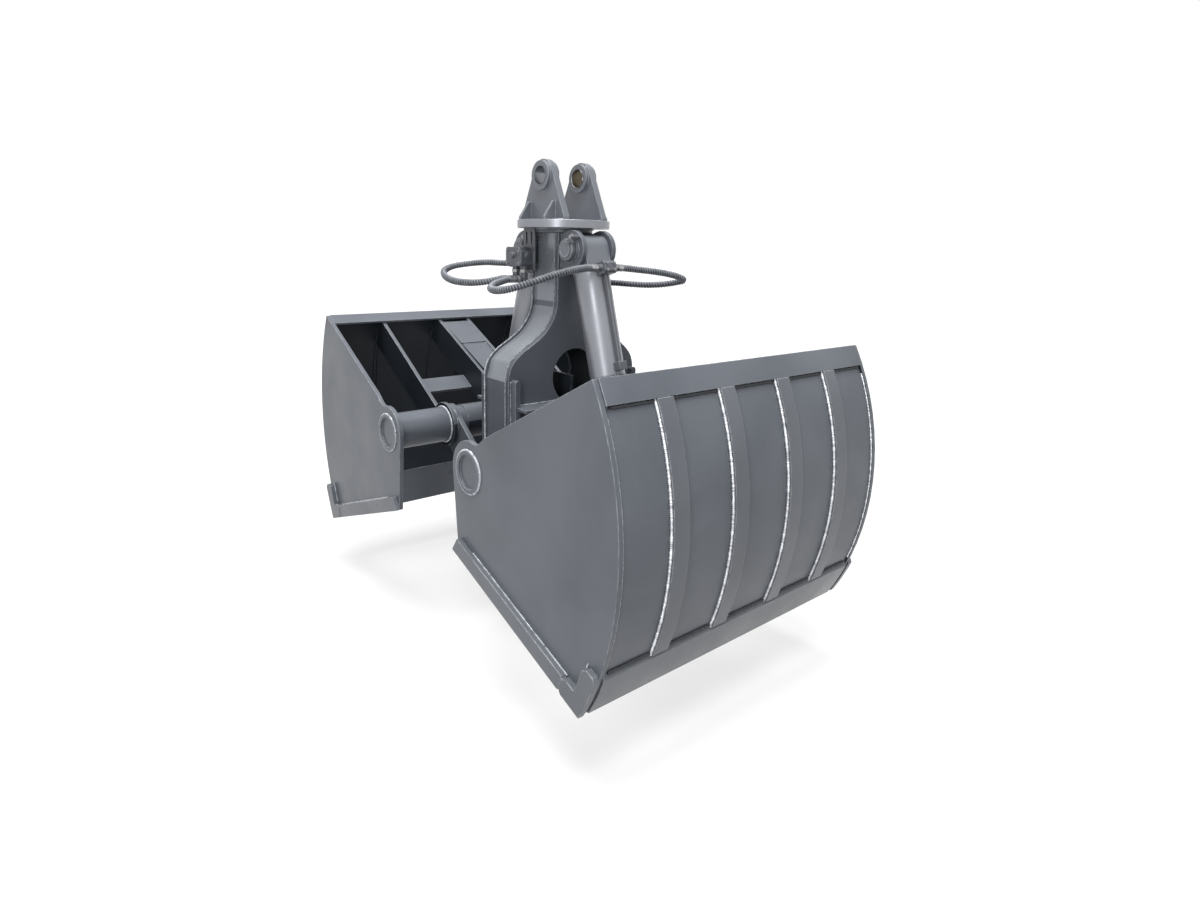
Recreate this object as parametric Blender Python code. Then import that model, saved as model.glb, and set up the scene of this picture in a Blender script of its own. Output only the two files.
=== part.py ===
"""Clamshell bucket that hangs from an excavator arm, standing open on its two lips.

Metres, +Z up.  X is the direction in which the two shells open, Y runs along the hinges.
The rest pose is fully open.  The front shell is on the +X side, the rear shell on the -X side.
Shell outlines are given from the shell's own hinge: u points away from the mouth, w up.
Outlines called closed are turned by the opening angle into the rest pose.
"""
import math

import bmesh
import bpy
from mathutils import Matrix, Vector

# Whole object
GAP = 0.0003
RUN = 0.0005
BITE = 0.002
MERGE = 0.00002
HALF_WIDTH = 0.600
HINGE_X = 0.300
OPEN_DEG = 70.0
FINE = 32
MID = 24
SMALL = 12
SMOOTH_DEG = 30.0

# Shell outline
MOUTH = 0.299
MOUTH_TOP = 0.030
ARC_U = 0.145
ARC_W = 0.210
WALL_R = 0.950
SIDE_PROUD = 0.007
SIDE_R = WALL_R + SIDE_PROUD
TOP_TURN_DEG = 48.6
SIDE_T = 0.016
HINGE_END_R = 0.1025
HINGE_END_FROM_DEG = 75.0
EDGE_END_U = 0.100
EDGE_NEAR_U = 0.070
EDGE_NEAR_W = 0.120
BEND_HANDLE = 0.030
ARC_STEPS = 16
END_STEPS = 8
BEND_STEPS = 5

# Back wall, lip, bands and top bar
WALL_T = 0.012
LIP_PROUD = 0.012
LIP_R = WALL_R + LIP_PROUD
LIP_T = 0.024
LIP_LONG = 0.155
LIP_BEVEL = 0.012
BAND_T = 0.012
BAND_WIDE = 0.060
BAND_INNER_SHARE = 0.2167
BAND_OUTER_SHARE = 0.6333
BAND_Y_INNER = HALF_WIDTH * BAND_INNER_SHARE
BAND_Y_OUTER = HALF_WIDTH * BAND_OUTER_SHARE
BAR_PROUD = 0.012
BAR_TALL = 0.072
BAR_DEEP = 0.065
BAR_T = 0.010

# Side trim of a shell
CUTTER_T = 0.018
CUTTER_WIDE = 0.054
CUTTER_START = 0.018
CUTTER_END = 0.648
CUTTER_BEVEL = 0.014
CORNER_T = 0.020
CORNER_WIDE = 0.054
CORNER_STEP = 0.006
CORNER_UP = 0.100
CORNER_ALONG = 0.160
CORNER_CUT = 0.013
CORNER_STEPS = 6

# Ribs inside a shell
RIB_T = 0.016
RIB_BOSS_R = 0.088
RIB_TOP_U = 0.541
RIB_TOP_W = 0.350
RIB_ROOT_SHARE = 0.236
RIB_TOP_SLOPE_SHARE = (RIB_TOP_W - RIB_ROOT_SHARE * RIB_BOSS_R) / RIB_TOP_U
RIB_LOW_U = 0.218
RIB_LOW_W = 0.013
RIB_LOW_SLOPE_SHARE = 0.575
CHANNEL_Y = 0.067
CHANNEL_TOP_U = 0.542
CHANNEL_TOP_W = 0.352
CHANNEL_ROOT_SHARE = 0.9205
CHANNEL_SLOPE_SHARE = (CHANNEL_TOP_W - CHANNEL_ROOT_SHARE * RIB_BOSS_R) / CHANNEL_TOP_U
CHANNEL_LOW_U = 0.189
CHANNEL_LOW_W = 0.025
CHANNEL_LOW_SLOPE_SHARE = 0.544
EAR_R = 0.050
COVER_T = 0.008
COVER_SINK = 0.014
COVER_STEP = 0.004
COVER_FROM = 0.170
COVER_SEAM = 0.372
BRACE_U = 0.290
BRACE_W = 0.098
BRACE_WIDE = 0.085
BRACE_T = 0.012
BRACE_TILT_DEG = 31.0

# Frame box
PLATE_X = 0.085
PLATE_T = 0.014
NECK_HALF = 0.088
BOX_HALF = 0.305
NECK_TOP = 1.290
S_DROP = 0.250
S_TOP = NECK_TOP - S_DROP
S_BOTTOM = 0.755
BOX_BOTTOM = 0.320
WEB_SINK = 0.004
WEB_T = 0.012
HOLE_R = 0.106
HOLE_Z = 0.755
S_SHARES = ((0.0, 0.0), (0.02, 0.11), (0.10, 0.25), (0.27, 0.41), (0.50, 0.53),
            (0.74, 0.64), (0.92, 0.77), (0.99, 0.90), (1.0, 1.0))
S_STEPS = 3
WEB_FLAT_SHARE = 0.77
FLOOR_T = 0.012
DIAPHRAGM_T = 0.012
STIFFENER_IN = 0.020
STIFFENER_Y = BOX_HALF - STIFFENER_IN
STIFFENER_WIDE = 0.022
STIFFENER_OUT = 0.030
STIFFENER_LOW = 0.500
STIFFENER_TOP = 0.768
SHELF_OUT = 0.080
SHELF_Z = 0.655
SHELF_T = 0.012

# Torque tube and hinge, placed from the sides of the frame box
TUBE_R = 0.070
TUBE_WALL = 0.013
TUBE_PROUD = 0.006
TUBE_SHORT = 0.020
TUBE_INNER_END = BOX_HALF - TUBE_SHORT
CAP_RECESS = 0.008
PIN_INTO = 0.030
PIN_FROM_Y = TUBE_INNER_END - PIN_INTO
TIE_STEP = 0.012
TIE_Y = BOX_HALF + TIE_STEP
TIE_T = 0.020
TIE_BOSS_R = 0.0795
TIE_ABOVE = 0.070
TIE_BELOW = 0.078
TIE_SLOPE_SHARE = 0.760
BOSS_R = 0.068
BOSS_OUT_R = 0.074
BOSS_STEP = 0.009
RIB_Y = TIE_Y + TIE_T + BOSS_STEP

# Head
SPIGOT_R = 0.110
FLANGE_R = 0.174
FLANGE_STEP = 0.017
FLANGE_LOW = NECK_TOP + FLANGE_STEP
FLANGE_T = 0.029
EAR_INNER_Y = 0.075
EAR_T = 0.026
EAR_BASE_HALF = 0.130
EAR_TOP_R = 0.058
EAR_RISE = 0.157
EAR_BORE_Z = FLANGE_LOW + FLANGE_T + EAR_RISE
EAR_BORE_R = 0.035
EAR_BOSS_R = 0.0525
EAR_BOSS_T = 0.012
EAR_BASE_STEP = 0.012
GUSSET_X = 0.075
GUSSET_T = 0.012
GUSSET_TALL = 0.066
GUSSET_OUT = 0.048
GUSSET_NOSE = 0.010

# Cylinders
TOP_PIN_X = 0.145
TOP_PIN_DROP = 0.077
TOP_PIN_Z = FLANGE_LOW - TOP_PIN_DROP
TOP_PIN_R = 0.030
LUG_Y = 0.0595
LUG_T = 0.018
LUG_R = 0.070
LUG_BELOW = 0.065
LUG_ABOVE = 0.054
LUG_LOW = TOP_PIN_Z - LUG_BELOW
LUG_TOP = TOP_PIN_Z + LUG_ABOVE
DOUBLER_T = 0.004
LUG_BOSS_R = 0.048
LUG_BOSS_T = 0.010
PIN_HEAD_R = 0.040
PIN_HEAD_T = 0.017
PIN_TAIL = 0.006
EYE_R = 0.054
EYE_HALF = 0.0565
EYE_NECK = 0.0735
BARREL_R = 0.0645
BARREL_WALL = 0.0125
BARREL_BASE = 0.018
BARREL_END = 0.470
GLAND_R = 0.058
GLAND_LONG = 0.022
ROD_R = 0.030
PISTON_LONG = 0.040
PISTON_FROM = 0.095
ROD_PIN_U = 0.012
ROD_PIN_W = 0.128
ROD_PIN_R = 0.022
ROD_EYE_R = 0.042
ROD_EYE_HALF = 0.0305
ROD_EYE_NECK = 0.040
SLOT_BACK = 0.0135
SLOT_SIDE = 0.0240
SLOT_PLAY = 0.0032
SPACER_R = 0.036
ROD_PIN_HEAD_R = 0.032
ROD_PIN_HEAD_T = 0.008
PORT_FROM = 0.066
PORT_LONG = 0.044
PORT_OUT = 0.046
PORT_HALF = 0.028
PORT_BEVEL = 0.008
PORT_LOW_FROM = 0.425
PORT_LOW_LONG = 0.030
PORT_LOW_OUT = 0.028
PORT_LOW_HALF = 0.018
NOZZLE_R = 0.012
NOZZLE_LONG = 0.010
PIPE_R = 0.008
PIPE_OFF = 0.013

# Valve block, bracket and hoses
VALVE_X = -0.082
VALVE_WIDE = 0.100
VALVE_Y = 0.1150
VALVE_DEEP = 0.058
VALVE_DROP = 0.124
VALVE_LOW = NECK_TOP - VALVE_DROP
VALVE_TALL = 0.070
VALVE_BEVEL = 0.008
VALVE_CORNER = 0.016
BRACKET_X = -0.060
BRACKET_WIDE = 0.070
BRACKET_T = 0.008
BRACKET_DROP = 0.140
BRACKET_LOW = NECK_TOP - BRACKET_DROP
BRACKET_UNDER = 0.0015
BRACKET_TOP = FLANGE_LOW - BRACKET_UNDER
BRACKET_SLOT_X = 0.016
BRACKET_SLOT_R = 0.006
SLOT_LOW_DROP = 0.038
SLOT_TOP_DROP = 0.002
BRACKET_SLOT_LOW = NECK_TOP - SLOT_LOW_DROP
BRACKET_SLOT_TOP = NECK_TOP - SLOT_TOP_DROP
FOOT_R = 0.010
FOOT_LOW_DROP = 0.120
FOOT_TOP_DROP = 0.020
BRACKET_FOOT_LOW = NECK_TOP - FOOT_LOW_DROP
BRACKET_FOOT_TOP = NECK_TOP - FOOT_TOP_DROP
BRACKET_FOOT_X = -0.048
FITTING_R = 0.014
FITTING_LONG = 0.064
ELBOW_REACH = 0.034
FITTING_SINK = 0.048
FRONT_FITTING_X = -0.055
REAR_FITTING_X = -0.108
FITTING_Y = 0.142
PLUG_R = 0.011
PLUG_T = 0.010
PLUG_RISE = 0.040
PLUG_Z = VALVE_LOW + PLUG_RISE
SIDE_PORT_X = 0.040
SIDE_PORT_DROP = 0.184
SIDE_PORT_Z = NECK_TOP - SIDE_PORT_DROP
SIDE_PORT_LONG = 0.0343
HOSE_R = 0.013
HOSE_POINTS = 22
HOSE_RES = 2
ROUTE_PIN_Z = 1.230

FRONT_HOSE_X = (0.254, 0.254, 0.270, 0.286, 0.281, 0.249, 0.191, 0.120, 0.048, -0.001, -0.032, -0.055, -0.055)
FRONT_HOSE_Y = (-0.0385, -0.070, -0.120, -0.190, -0.270, -0.330, -0.370, -0.378, -0.355, -0.310, -0.258, -0.210, -0.1765)
FRONT_HOSE_Z = (1.170, 1.170, 1.169, 1.162, 1.145, 1.121, 1.100, 1.091, 1.094, 1.104, 1.112, 1.118, 1.118)
REAR_HOSE_X = (-0.254, -0.254, -0.280, -0.340, -0.398, -0.424, -0.400, -0.336, -0.262, -0.195, -0.145, -0.108, -0.108)
REAR_HOSE_Y = (-0.0385, -0.066, -0.100, -0.130, -0.178, -0.236, -0.290, -0.322, -0.325, -0.300, -0.262, -0.212, -0.1765)
REAR_HOSE_Z = (1.170, 1.170, 1.171, 1.172, 1.165, 1.154, 1.138, 1.118, 1.104, 1.100, 1.105, 1.118, 1.118)
SIDE_HOSE_X = (0.254, 0.254, 0.260, 0.274, 0.286, 0.291, 0.276, 0.242, 0.208, 0.178, 0.140, 0.096, 0.058, 0.040, 0.040)
SIDE_HOSE_Y = (0.0385, 0.080, 0.150, 0.220, 0.285, 0.340, 0.376, 0.370, 0.332, 0.280, 0.232, 0.205, 0.185, 0.158, 0.1227)
SIDE_HOSE_Z = (1.170, 1.169, 1.163, 1.156, 1.147, 1.135, 1.122, 1.112, 1.104, 1.101, 1.103, 1.105, 1.106, 1.106, 1.106)

OPEN = math.radians(OPEN_DEG)
TOP_TURN = math.radians(TOP_TURN_DEG)


def mouth_turn(radius):
    """Angle on the shell's arc at which a circle of this radius meets the mouth plane."""
    return -math.asin((MOUTH - ARC_U) / radius)


def closed_polar(radius, turn):
    """Point on the shell's arc, closed outline."""
    return (-ARC_U + radius * math.sin(turn), ARC_W - radius * math.cos(turn))


def swing(point):
    """Turns a closed outline point into the rest pose."""
    u, w = point
    return (u * math.cos(OPEN) - w * math.sin(OPEN), u * math.sin(OPEN) + w * math.cos(OPEN))


# The wall's arc is drawn in straight steps, so what lies against it keeps clear of their middles
HINGE_Z = -swing(closed_polar(LIP_R, mouth_turn(LIP_R)))[1]
LIP_END = mouth_turn(LIP_R) + LIP_LONG / LIP_R
WALL_FROM = LIP_END + GAP / WALL_R
WALL_TO = TOP_TURN - (BAR_T + GAP) / WALL_R
HALF_STEP_SHARE = math.cos((WALL_TO - WALL_FROM) / ARC_STEPS / 2)
RIB_BACK_R = (WALL_R - WALL_T) * HALF_STEP_SHARE - GAP
BAND_FACE_R = (WALL_R + GAP) / HALF_STEP_SHARE

for old in list(bpy.data.objects):
    bpy.data.objects.remove(old, do_unlink=True)


def material(name, colour, metallic, roughness):
    made = bpy.data.materials.new(name)
    made.use_nodes = True
    shader = made.node_tree.nodes["Principled BSDF"]
    shader.inputs["Base Color"].default_value = (colour[0], colour[1], colour[2], 1)
    shader.inputs["Metallic"].default_value = metallic
    shader.inputs["Roughness"].default_value = roughness
    return made


PAINT_SHARES = (0.10, 0.11, 0.125)
INNER_SHARES = (0.055, 0.062, 0.075)
STEEL_SHARES = (0.42, 0.43, 0.45)
WEAR_SHARES = (0.14, 0.145, 0.155)
DARK_SHARES = (0.03, 0.032, 0.036)
HALF_SHARE = 0.5
PAINT = material("graphite_paint", PAINT_SHARES, HALF_SHARE, HALF_SHARE)
INNER = material("inner_paint", INNER_SHARES, HALF_SHARE, HALF_SHARE)
STEEL = material("bare_steel", STEEL_SHARES, 1, HALF_SHARE)
WEAR = material("wear_steel", WEAR_SHARES, HALF_SHARE, HALF_SHARE)
HOSE = material("hose_cover", DARK_SHARES, 0, HALF_SHARE)
FITTING = material("dark_fitting", DARK_SHARES, HALF_SHARE, HALF_SHARE)


def closed_mesh(shape):
    """Mesh of a closed bmesh, its faces turned outwards."""
    bmesh.ops.recalc_face_normals(shape, faces=shape.faces)
    mesh = bpy.data.meshes.new("body")
    shape.to_mesh(mesh)
    shape.free()
    return mesh


def prism(outline, low, high, plane):
    """Plate with this outline, extruded from low to high across the plane."""
    order = {"XZ": lambda a, b, c: (a, c, b), "YZ": lambda a, b, c: (c, a, b)}[plane]
    shape = bmesh.new()
    face = shape.faces.new([shape.verts.new(order(a, b, low)) for a, b in outline])
    made = bmesh.ops.extrude_face_region(shape, geom=[face])
    ends = [item for item in made["geom"] if isinstance(item, bmesh.types.BMVert)]
    bmesh.ops.translate(shape, verts=ends, vec=Vector(order(0, 0, high - low)))
    return closed_mesh(shape)


def turned(profile, centre, along, segments):
    """Round body: the profile of (radius, height) points is spun about the axis through the centre."""
    shape = bmesh.new()
    spots = [shape.verts.new((radius, 0, height)) for radius, height in profile]
    edges = [shape.edges.new(pair) for pair in zip(spots, spots[1:])]
    if profile[0][0] > 0:
        edges.append(shape.edges.new((spots[-1], spots[0])))
    bmesh.ops.spin(shape, geom=spots + edges, cent=(0, 0, 0), axis=(0, 0, 1), dvec=(0, 0, 0),
                   angle=2 * math.pi, steps=segments, use_merge=True)
    bmesh.ops.remove_doubles(shape, verts=shape.verts, dist=MERGE)
    turn = Vector((0, 0, 1)).rotation_difference(Vector(along)).to_matrix().to_4x4()
    bmesh.ops.transform(shape, matrix=Matrix.Translation(centre) @ turn, verts=shape.verts)
    return closed_mesh(shape)


def disc(radius, centre, along, low, high, segments):
    return turned([(0, low), (radius, low), (radius, high), (0, high)], centre, along, segments)


def placed(body, matrix):
    """The same body in another place; a mirrored one has its faces turned back outwards."""
    shape = bmesh.new()
    shape.from_mesh(body)
    bmesh.ops.transform(shape, matrix=matrix, verts=shape.verts)
    return closed_mesh(shape)


def both(body):
    """The body and its mirror across the plane Y = 0."""
    return [body, placed(body, Matrix.Diagonal((1, -1, 1, 1)))]


def sided(body, sign):
    """The body on the front side, or its mirror on the rear side."""
    return placed(body, Matrix.Diagonal((sign, 1, 1, 1)))


def add_object(name, mesh):
    made = bpy.data.objects.new(name, mesh)
    bpy.context.scene.collection.objects.link(made)
    return made


def combined(body, other, operation):
    """The body joined with the other one, or cut by it, and points closer than MERGE made one."""
    made = add_object("body", body)
    tool = add_object("tool", other)
    modifier = made.modifiers.new("join", "BOOLEAN")
    modifier.operation = operation
    modifier.object = tool
    view = bpy.context.evaluated_depsgraph_get()
    mesh = bpy.data.meshes.new_from_object(made.evaluated_get(view))
    bpy.data.objects.remove(tool, do_unlink=True)
    bpy.data.objects.remove(made, do_unlink=True)
    tidy = bmesh.new()
    tidy.from_mesh(mesh)
    bmesh.ops.remove_doubles(tidy, verts=tidy.verts, dist=MERGE)
    bmesh.ops.dissolve_degenerate(tidy, edges=tidy.edges, dist=MERGE)
    tidy.to_mesh(mesh)
    tidy.free()
    return mesh


def make(name, bodies, look, pivot=(0, 0, 0), cutters=()):
    """One named object: the bodies welded together, the cutters taken out, its origin at the pivot."""
    mesh = bodies[0]
    for body in bodies[1:]:
        mesh = combined(mesh, body, "UNION")
    for body in cutters:
        mesh = combined(mesh, body, "DIFFERENCE")
    mesh.transform(Matrix.Translation(pivot).inverted())
    mesh.materials.clear()
    mesh.materials.append(look)
    mesh.shade_smooth()
    mesh.set_sharp_from_angle(angle=math.radians(SMOOTH_DEG))
    mesh.name = name
    made = add_object(name, mesh)
    made.location = pivot
    return made


def arc(a, b, radius, start, end, steps):
    return [(a + radius * math.cos(start + (end - start) * i / steps),
             b + radius * math.sin(start + (end - start) * i / steps)) for i in range(steps + 1)]


def smooth_line(points, steps):
    """Smooth curve through every point, with this many steps between two points."""
    spots = [Vector(p) for p in points]
    spots = [spots[0] * 2 - spots[1]] + spots + [spots[-1] * 2 - spots[-2]]
    made = []
    for i in range(1, len(spots) - 2):
        a, b, c, d = spots[i - 1], spots[i], spots[i + 1], spots[i + 2]
        for k in range(steps):
            t = k / steps
            made.append((b * 2 + (c - a) * t + (a * 2 - b * 5 + c * 4 - d) * t ** 2
                         + (b * 3 - a - c * 3 + d) * t ** 3) / 2)
    made.append(spots[-2])
    return made


def even_line(points, count):
    """The same line cut into evenly spaced points."""
    reach = [0]
    for a, b in zip(points, points[1:]):
        reach.append(reach[-1] + (b - a).length)
    made = []
    at = 0
    for k in range(count):
        want = reach[-1] * k / (count - 1)
        while at < len(points) - 2 and reach[at + 1] < want:
            at += 1
        share = (want - reach[at]) / (reach[at + 1] - reach[at])
        made.append(points[at].lerp(points[at + 1], share))
    return made


def offset_line(points, distance):
    """A flat line moved to its left by the distance."""
    made = []
    for i, point in enumerate(points):
        before = Vector(points[max(i - 1, 0)])
        after = Vector(points[min(i + 1, len(points) - 1)])
        step = (after - before).normalized()
        made.append((point[0] - step.y * distance, point[1] + step.x * distance))
    return made


# Outline of the shell side plate, in the rest pose and from the hinge
TOP_CORNER = swing(closed_polar(SIDE_R, TOP_TURN))
EDGE_SLOPE = (TOP_CORNER[1] - EDGE_NEAR_W) / (TOP_CORNER[0] - EDGE_NEAR_U)


def side_outline():
    start = mouth_turn(SIDE_R)
    line = []
    for i in range(ARC_STEPS + 1):
        line.append(swing(closed_polar(SIDE_R, start + (TOP_TURN - start) * i / ARC_STEPS)))
    first = Vector((EDGE_END_U, EDGE_NEAR_W + (EDGE_END_U - EDGE_NEAR_U) * EDGE_SLOPE))
    along = Vector((-1, -EDGE_SLOPE)).normalized()
    turn = math.radians(HINGE_END_FROM_DEG)
    last = Vector((HINGE_END_R * math.cos(turn), HINGE_END_R * math.sin(turn)))
    into = Vector((-math.sin(turn), math.cos(turn)))
    for i in range(BEND_STEPS):
        t = i / BEND_STEPS
        a = first * (1 - t) ** 3 + (first + along * BEND_HANDLE) * (3 * t * (1 - t) ** 2)
        b = (last - into * BEND_HANDLE) * (3 * t ** 2 * (1 - t)) + last * t ** 3
        line.append(tuple(a + b))
    corner = swing((-MOUTH, -MOUTH_TOP))
    reach = math.hypot(corner[0], corner[1])
    heading = math.atan2(corner[1], corner[0]) + 2 * math.pi
    leave = heading - math.acos(HINGE_END_R / reach)
    line += arc(0, 0, HINGE_END_R, turn, leave, END_STEPS)
    line.append(corner)
    return line


def band_outline(outer, inner, start, end, steps):
    """Strip between two radii of the shell's arc."""
    line = [swing(closed_polar(outer, start + (end - start) * i / steps)) for i in range(steps + 1)]
    line += [swing(closed_polar(inner, end + (start - end) * i / steps)) for i in range(steps + 1)]
    return line


def along_top(radius, drop):
    """Point at this radius and this far below the top turn."""
    u, w = closed_polar(radius, TOP_TURN)
    return swing((u - drop * math.cos(TOP_TURN), w - drop * math.sin(TOP_TURN)))


def wall_hit(u, w, slope, radius):
    """Where a line of the rest pose meets the circle of this radius, on the outer side."""
    centre = swing((-ARC_U, ARC_W))
    step = Vector((1, slope)).normalized()
    start = Vector((u - centre[0], w - centre[1]))
    b = start.dot(step)
    c = start.dot(start) - radius * radius
    t = -b + math.sqrt(b * b - c)
    return (u + step.x * t, w + step.y * t)


def boss_hit(u, w, slope, radius):
    """Where a line of the rest pose leaves the hinge boss of this radius."""
    step = Vector((1, slope)).normalized()
    start = Vector((u, w))
    b = start.dot(step)
    c = start.dot(start) - radius * radius
    t = -b + math.sqrt(b * b - c)
    return (u + step.x * t, w + step.y * t)


def rib_outline(top, top_slope, low, low_slope, ear):
    """Rib from the hinge boss to the back wall, notched round the top bar."""
    inner_r = RIB_BACK_R
    notch_r = WALL_R + BAR_PROUD - BAR_DEEP - GAP
    upper = wall_hit(top[0], top[1], top_slope, notch_r)
    lower = wall_hit(low[0], low[1], low_slope, inner_r)
    under = BAR_T + GAP
    centre = swing((-ARC_U, ARC_W))
    end = along_top(inner_r, under)
    end_angle = math.atan2(end[1] - centre[1], end[0] - centre[0])
    low_angle = math.atan2(lower[1] - centre[1], lower[0] - centre[0])
    low_turn = math.atan2(low[1], low[0]) - math.acos(RIB_BOSS_R / math.hypot(low[0], low[1]))
    boss_low = (RIB_BOSS_R * math.cos(low_turn), RIB_BOSS_R * math.sin(low_turn))
    boss_top = boss_hit(top[0], top[1], top_slope, RIB_BOSS_R)
    line = [boss_low, low]
    line += arc(centre[0], centre[1], inner_r, low_angle, end_angle, CORNER_STEPS)
    line.append(along_top(notch_r, under))
    line.append(upper)
    start = math.atan2(boss_top[1], boss_top[0])
    stop = math.atan2(boss_low[1], boss_low[0])
    if ear:
        line += ear_outline(top, top_slope)
        ear_turn = math.atan2(ROD_PIN_W, ROD_PIN_U) + math.asin(EAR_R / math.hypot(ROD_PIN_U, ROD_PIN_W))
        start = max(ear_turn, start)
    else:
        line.append(boss_top)
    if stop < start:
        stop += 2 * math.pi
    line += arc(0, 0, RIB_BOSS_R, start, stop, END_STEPS * 2)[1:-1]
    return line


def ear_outline(top, slope):
    """Round ear for the rod pin, rising from the top edge of the channel rib."""
    foot = (EDGE_END_U, top[1] + (EDGE_END_U - top[0]) * slope)
    reach = Vector((foot[0] - ROD_PIN_U, foot[1] - ROD_PIN_W))
    turn = math.atan2(reach.y, reach.x) + math.acos(EAR_R / reach.length)
    return [foot] + arc(ROD_PIN_U, ROD_PIN_W, EAR_R, turn, math.pi, END_STEPS)


def shift(line, sign=1):
    """Outline from the hinge, moved to its place in the world; sign -1 gives the rear shell."""
    return [(sign * (HINGE_X + u), HINGE_Z + w) for u, w in line]


def lip_outline():
    """Cutting lip: bevelled at its upper outer edge, ending in the mouth plane."""
    inner_r = LIP_R - LIP_T
    outer_start = mouth_turn(LIP_R)
    inner_start = mouth_turn(inner_r)
    bevel_end = LIP_END - LIP_BEVEL / LIP_R
    line = []
    for i in range(CORNER_STEPS + 1):
        line.append(closed_polar(LIP_R, outer_start + (bevel_end - outer_start) * i / CORNER_STEPS))
    line.append(closed_polar(WALL_R, LIP_END))
    for i in range(CORNER_STEPS + 1):
        line.append(closed_polar(inner_r, LIP_END + (inner_start - LIP_END) * i / CORNER_STEPS))
    return [swing(point) for point in line]


def bar_outline(bar_start):
    """Angle section along the top of the back wall."""
    outer_r = WALL_R + BAR_PROUD
    leg_r = outer_r - BAR_T
    line = []
    for i in range(CORNER_STEPS + 1):
        line.append(swing(closed_polar(outer_r, bar_start + (TOP_TURN - bar_start) * i / CORNER_STEPS)))
    line.append(along_top(outer_r - BAR_DEEP, 0))
    line.append(along_top(outer_r - BAR_DEEP, BAR_T))
    line.append(along_top(leg_r, BAR_T))
    last = TOP_TURN - BAR_T / leg_r
    for i in range(1, CORNER_STEPS + 1):
        line.append(swing(closed_polar(leg_r, last + (bar_start - last) * i / CORNER_STEPS)))
    return line


def cutter_outline():
    """Bar along the mouth, its lower end narrowed where it runs into the corner plate."""
    low = -MOUTH
    high = -MOUTH + CUTTER_WIDE
    cut = CUTTER_END - CORNER_CUT
    points = ((low, -CUTTER_START), (high, -CUTTER_START - CUTTER_BEVEL), (high, -cut),
              (high - CORNER_CUT, -CUTTER_END), (low + CORNER_CUT, -CUTTER_END), (low, -cut))
    return [swing(point) for point in points]


def corner_outline():
    """Corner plate at the lip: one arm along the mouth, one along the back, both with cut corners."""
    start = mouth_turn(LIP_R)
    end = start + CORNER_ALONG / LIP_R
    cut_turn = end - CORNER_CUT / LIP_R
    inner_r = LIP_R - CORNER_WIDE
    inside = -MOUTH + CUTTER_WIDE + CORNER_STEP
    inner_turn = math.asin((inside + ARC_U) / inner_r)
    line = [closed_polar(LIP_R, start + (cut_turn - start) * i / CORNER_STEPS) for i in range(CORNER_STEPS + 1)]
    line.append(closed_polar(LIP_R - CORNER_CUT, end))
    line.append(closed_polar(inner_r + CORNER_CUT, end))
    for i in range(CORNER_STEPS + 1):
        line.append(closed_polar(inner_r, cut_turn + (inner_turn - cut_turn) * i / CORNER_STEPS))
    top = closed_polar(LIP_R, start)[1] + CORNER_UP
    line.append((inside, top - CORNER_CUT))
    line.append((inside - CORNER_CUT, top))
    line.append((-MOUTH + CORNER_CUT, top))
    line.append((-MOUTH, top - CORNER_CUT))
    return [swing(point) for point in line]


def cover_outlines():
    """Two flat plates between the channel ribs, one lapping a step above the other."""
    step = Vector((1, CHANNEL_SLOPE_SHARE)).normalized()
    across = Vector((-step.y, step.x))
    end_r = WALL_R + BAR_PROUD - BAR_DEEP - GAP
    hit = wall_hit(CHANNEL_TOP_U, CHANNEL_TOP_W, CHANNEL_SLOPE_SHARE, end_r)
    top = Vector((CHANNEL_TOP_U, CHANNEL_TOP_W))
    full = (hit[0] - CHANNEL_TOP_U) / step.x - COVER_SINK
    seam = (COVER_SEAM - CHANNEL_TOP_U) / step.x
    first = (COVER_FROM - CHANNEL_TOP_U) / step.x
    made = []
    for start, end, raised in ((first, seam, 0), (seam - BITE, full, COVER_STEP)):
        low = across * (raised - COVER_SINK)
        high = across * (raised - COVER_SINK + COVER_T)
        made.append([tuple(top + step * start + low), tuple(top + step * end + low),
                     tuple(top + step * end + high), tuple(top + step * start + high)])
    return made


def brace_outline():
    tilt = math.radians(BRACE_TILT_DEG)
    step = Vector((math.cos(tilt), math.sin(tilt))) * (BRACE_WIDE / 2)
    across = Vector((-math.sin(tilt), math.cos(tilt))) * (BRACE_T / 2)
    middle = Vector((BRACE_U, BRACE_W))
    return [tuple(middle + step * a + across * b) for a, b in ((-1, -1), (1, -1), (1, 1), (-1, 1))]


def back_of_shell(word, sign, pivot):
    """Curved back wall, cutting lip, top bar and the four wear bands."""
    bar_start = TOP_TURN - BAR_TALL / WALL_R
    half = HALF_WIDTH - SIDE_T - GAP
    wall = band_outline(WALL_R, WALL_R - WALL_T, WALL_FROM, WALL_TO, ARC_STEPS)
    make(word + "_back_wall", [prism(shift(wall, sign), -half, half, "XZ")], PAINT, pivot)
    make(word + "_lip", [prism(shift(lip_outline(), sign), -half, half, "XZ")], WEAR, pivot)
    make(word + "_top_bar", [prism(shift(bar_outline(bar_start), sign), -half, half, "XZ")], PAINT, pivot)
    outline = band_outline(BAND_FACE_R + BAND_T, BAND_FACE_R, WALL_FROM + GAP, bar_start - GAP, ARC_STEPS)
    places = (-BAND_Y_OUTER, -BAND_Y_INNER, BAND_Y_INNER, BAND_Y_OUTER)
    for number, y in enumerate(places, 1):
        band = prism(shift(outline, sign), y - BAND_WIDE / 2, y + BAND_WIDE / 2, "XZ")
        make(word + "_band_" + str(number), [band], WEAR, pivot)


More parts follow.
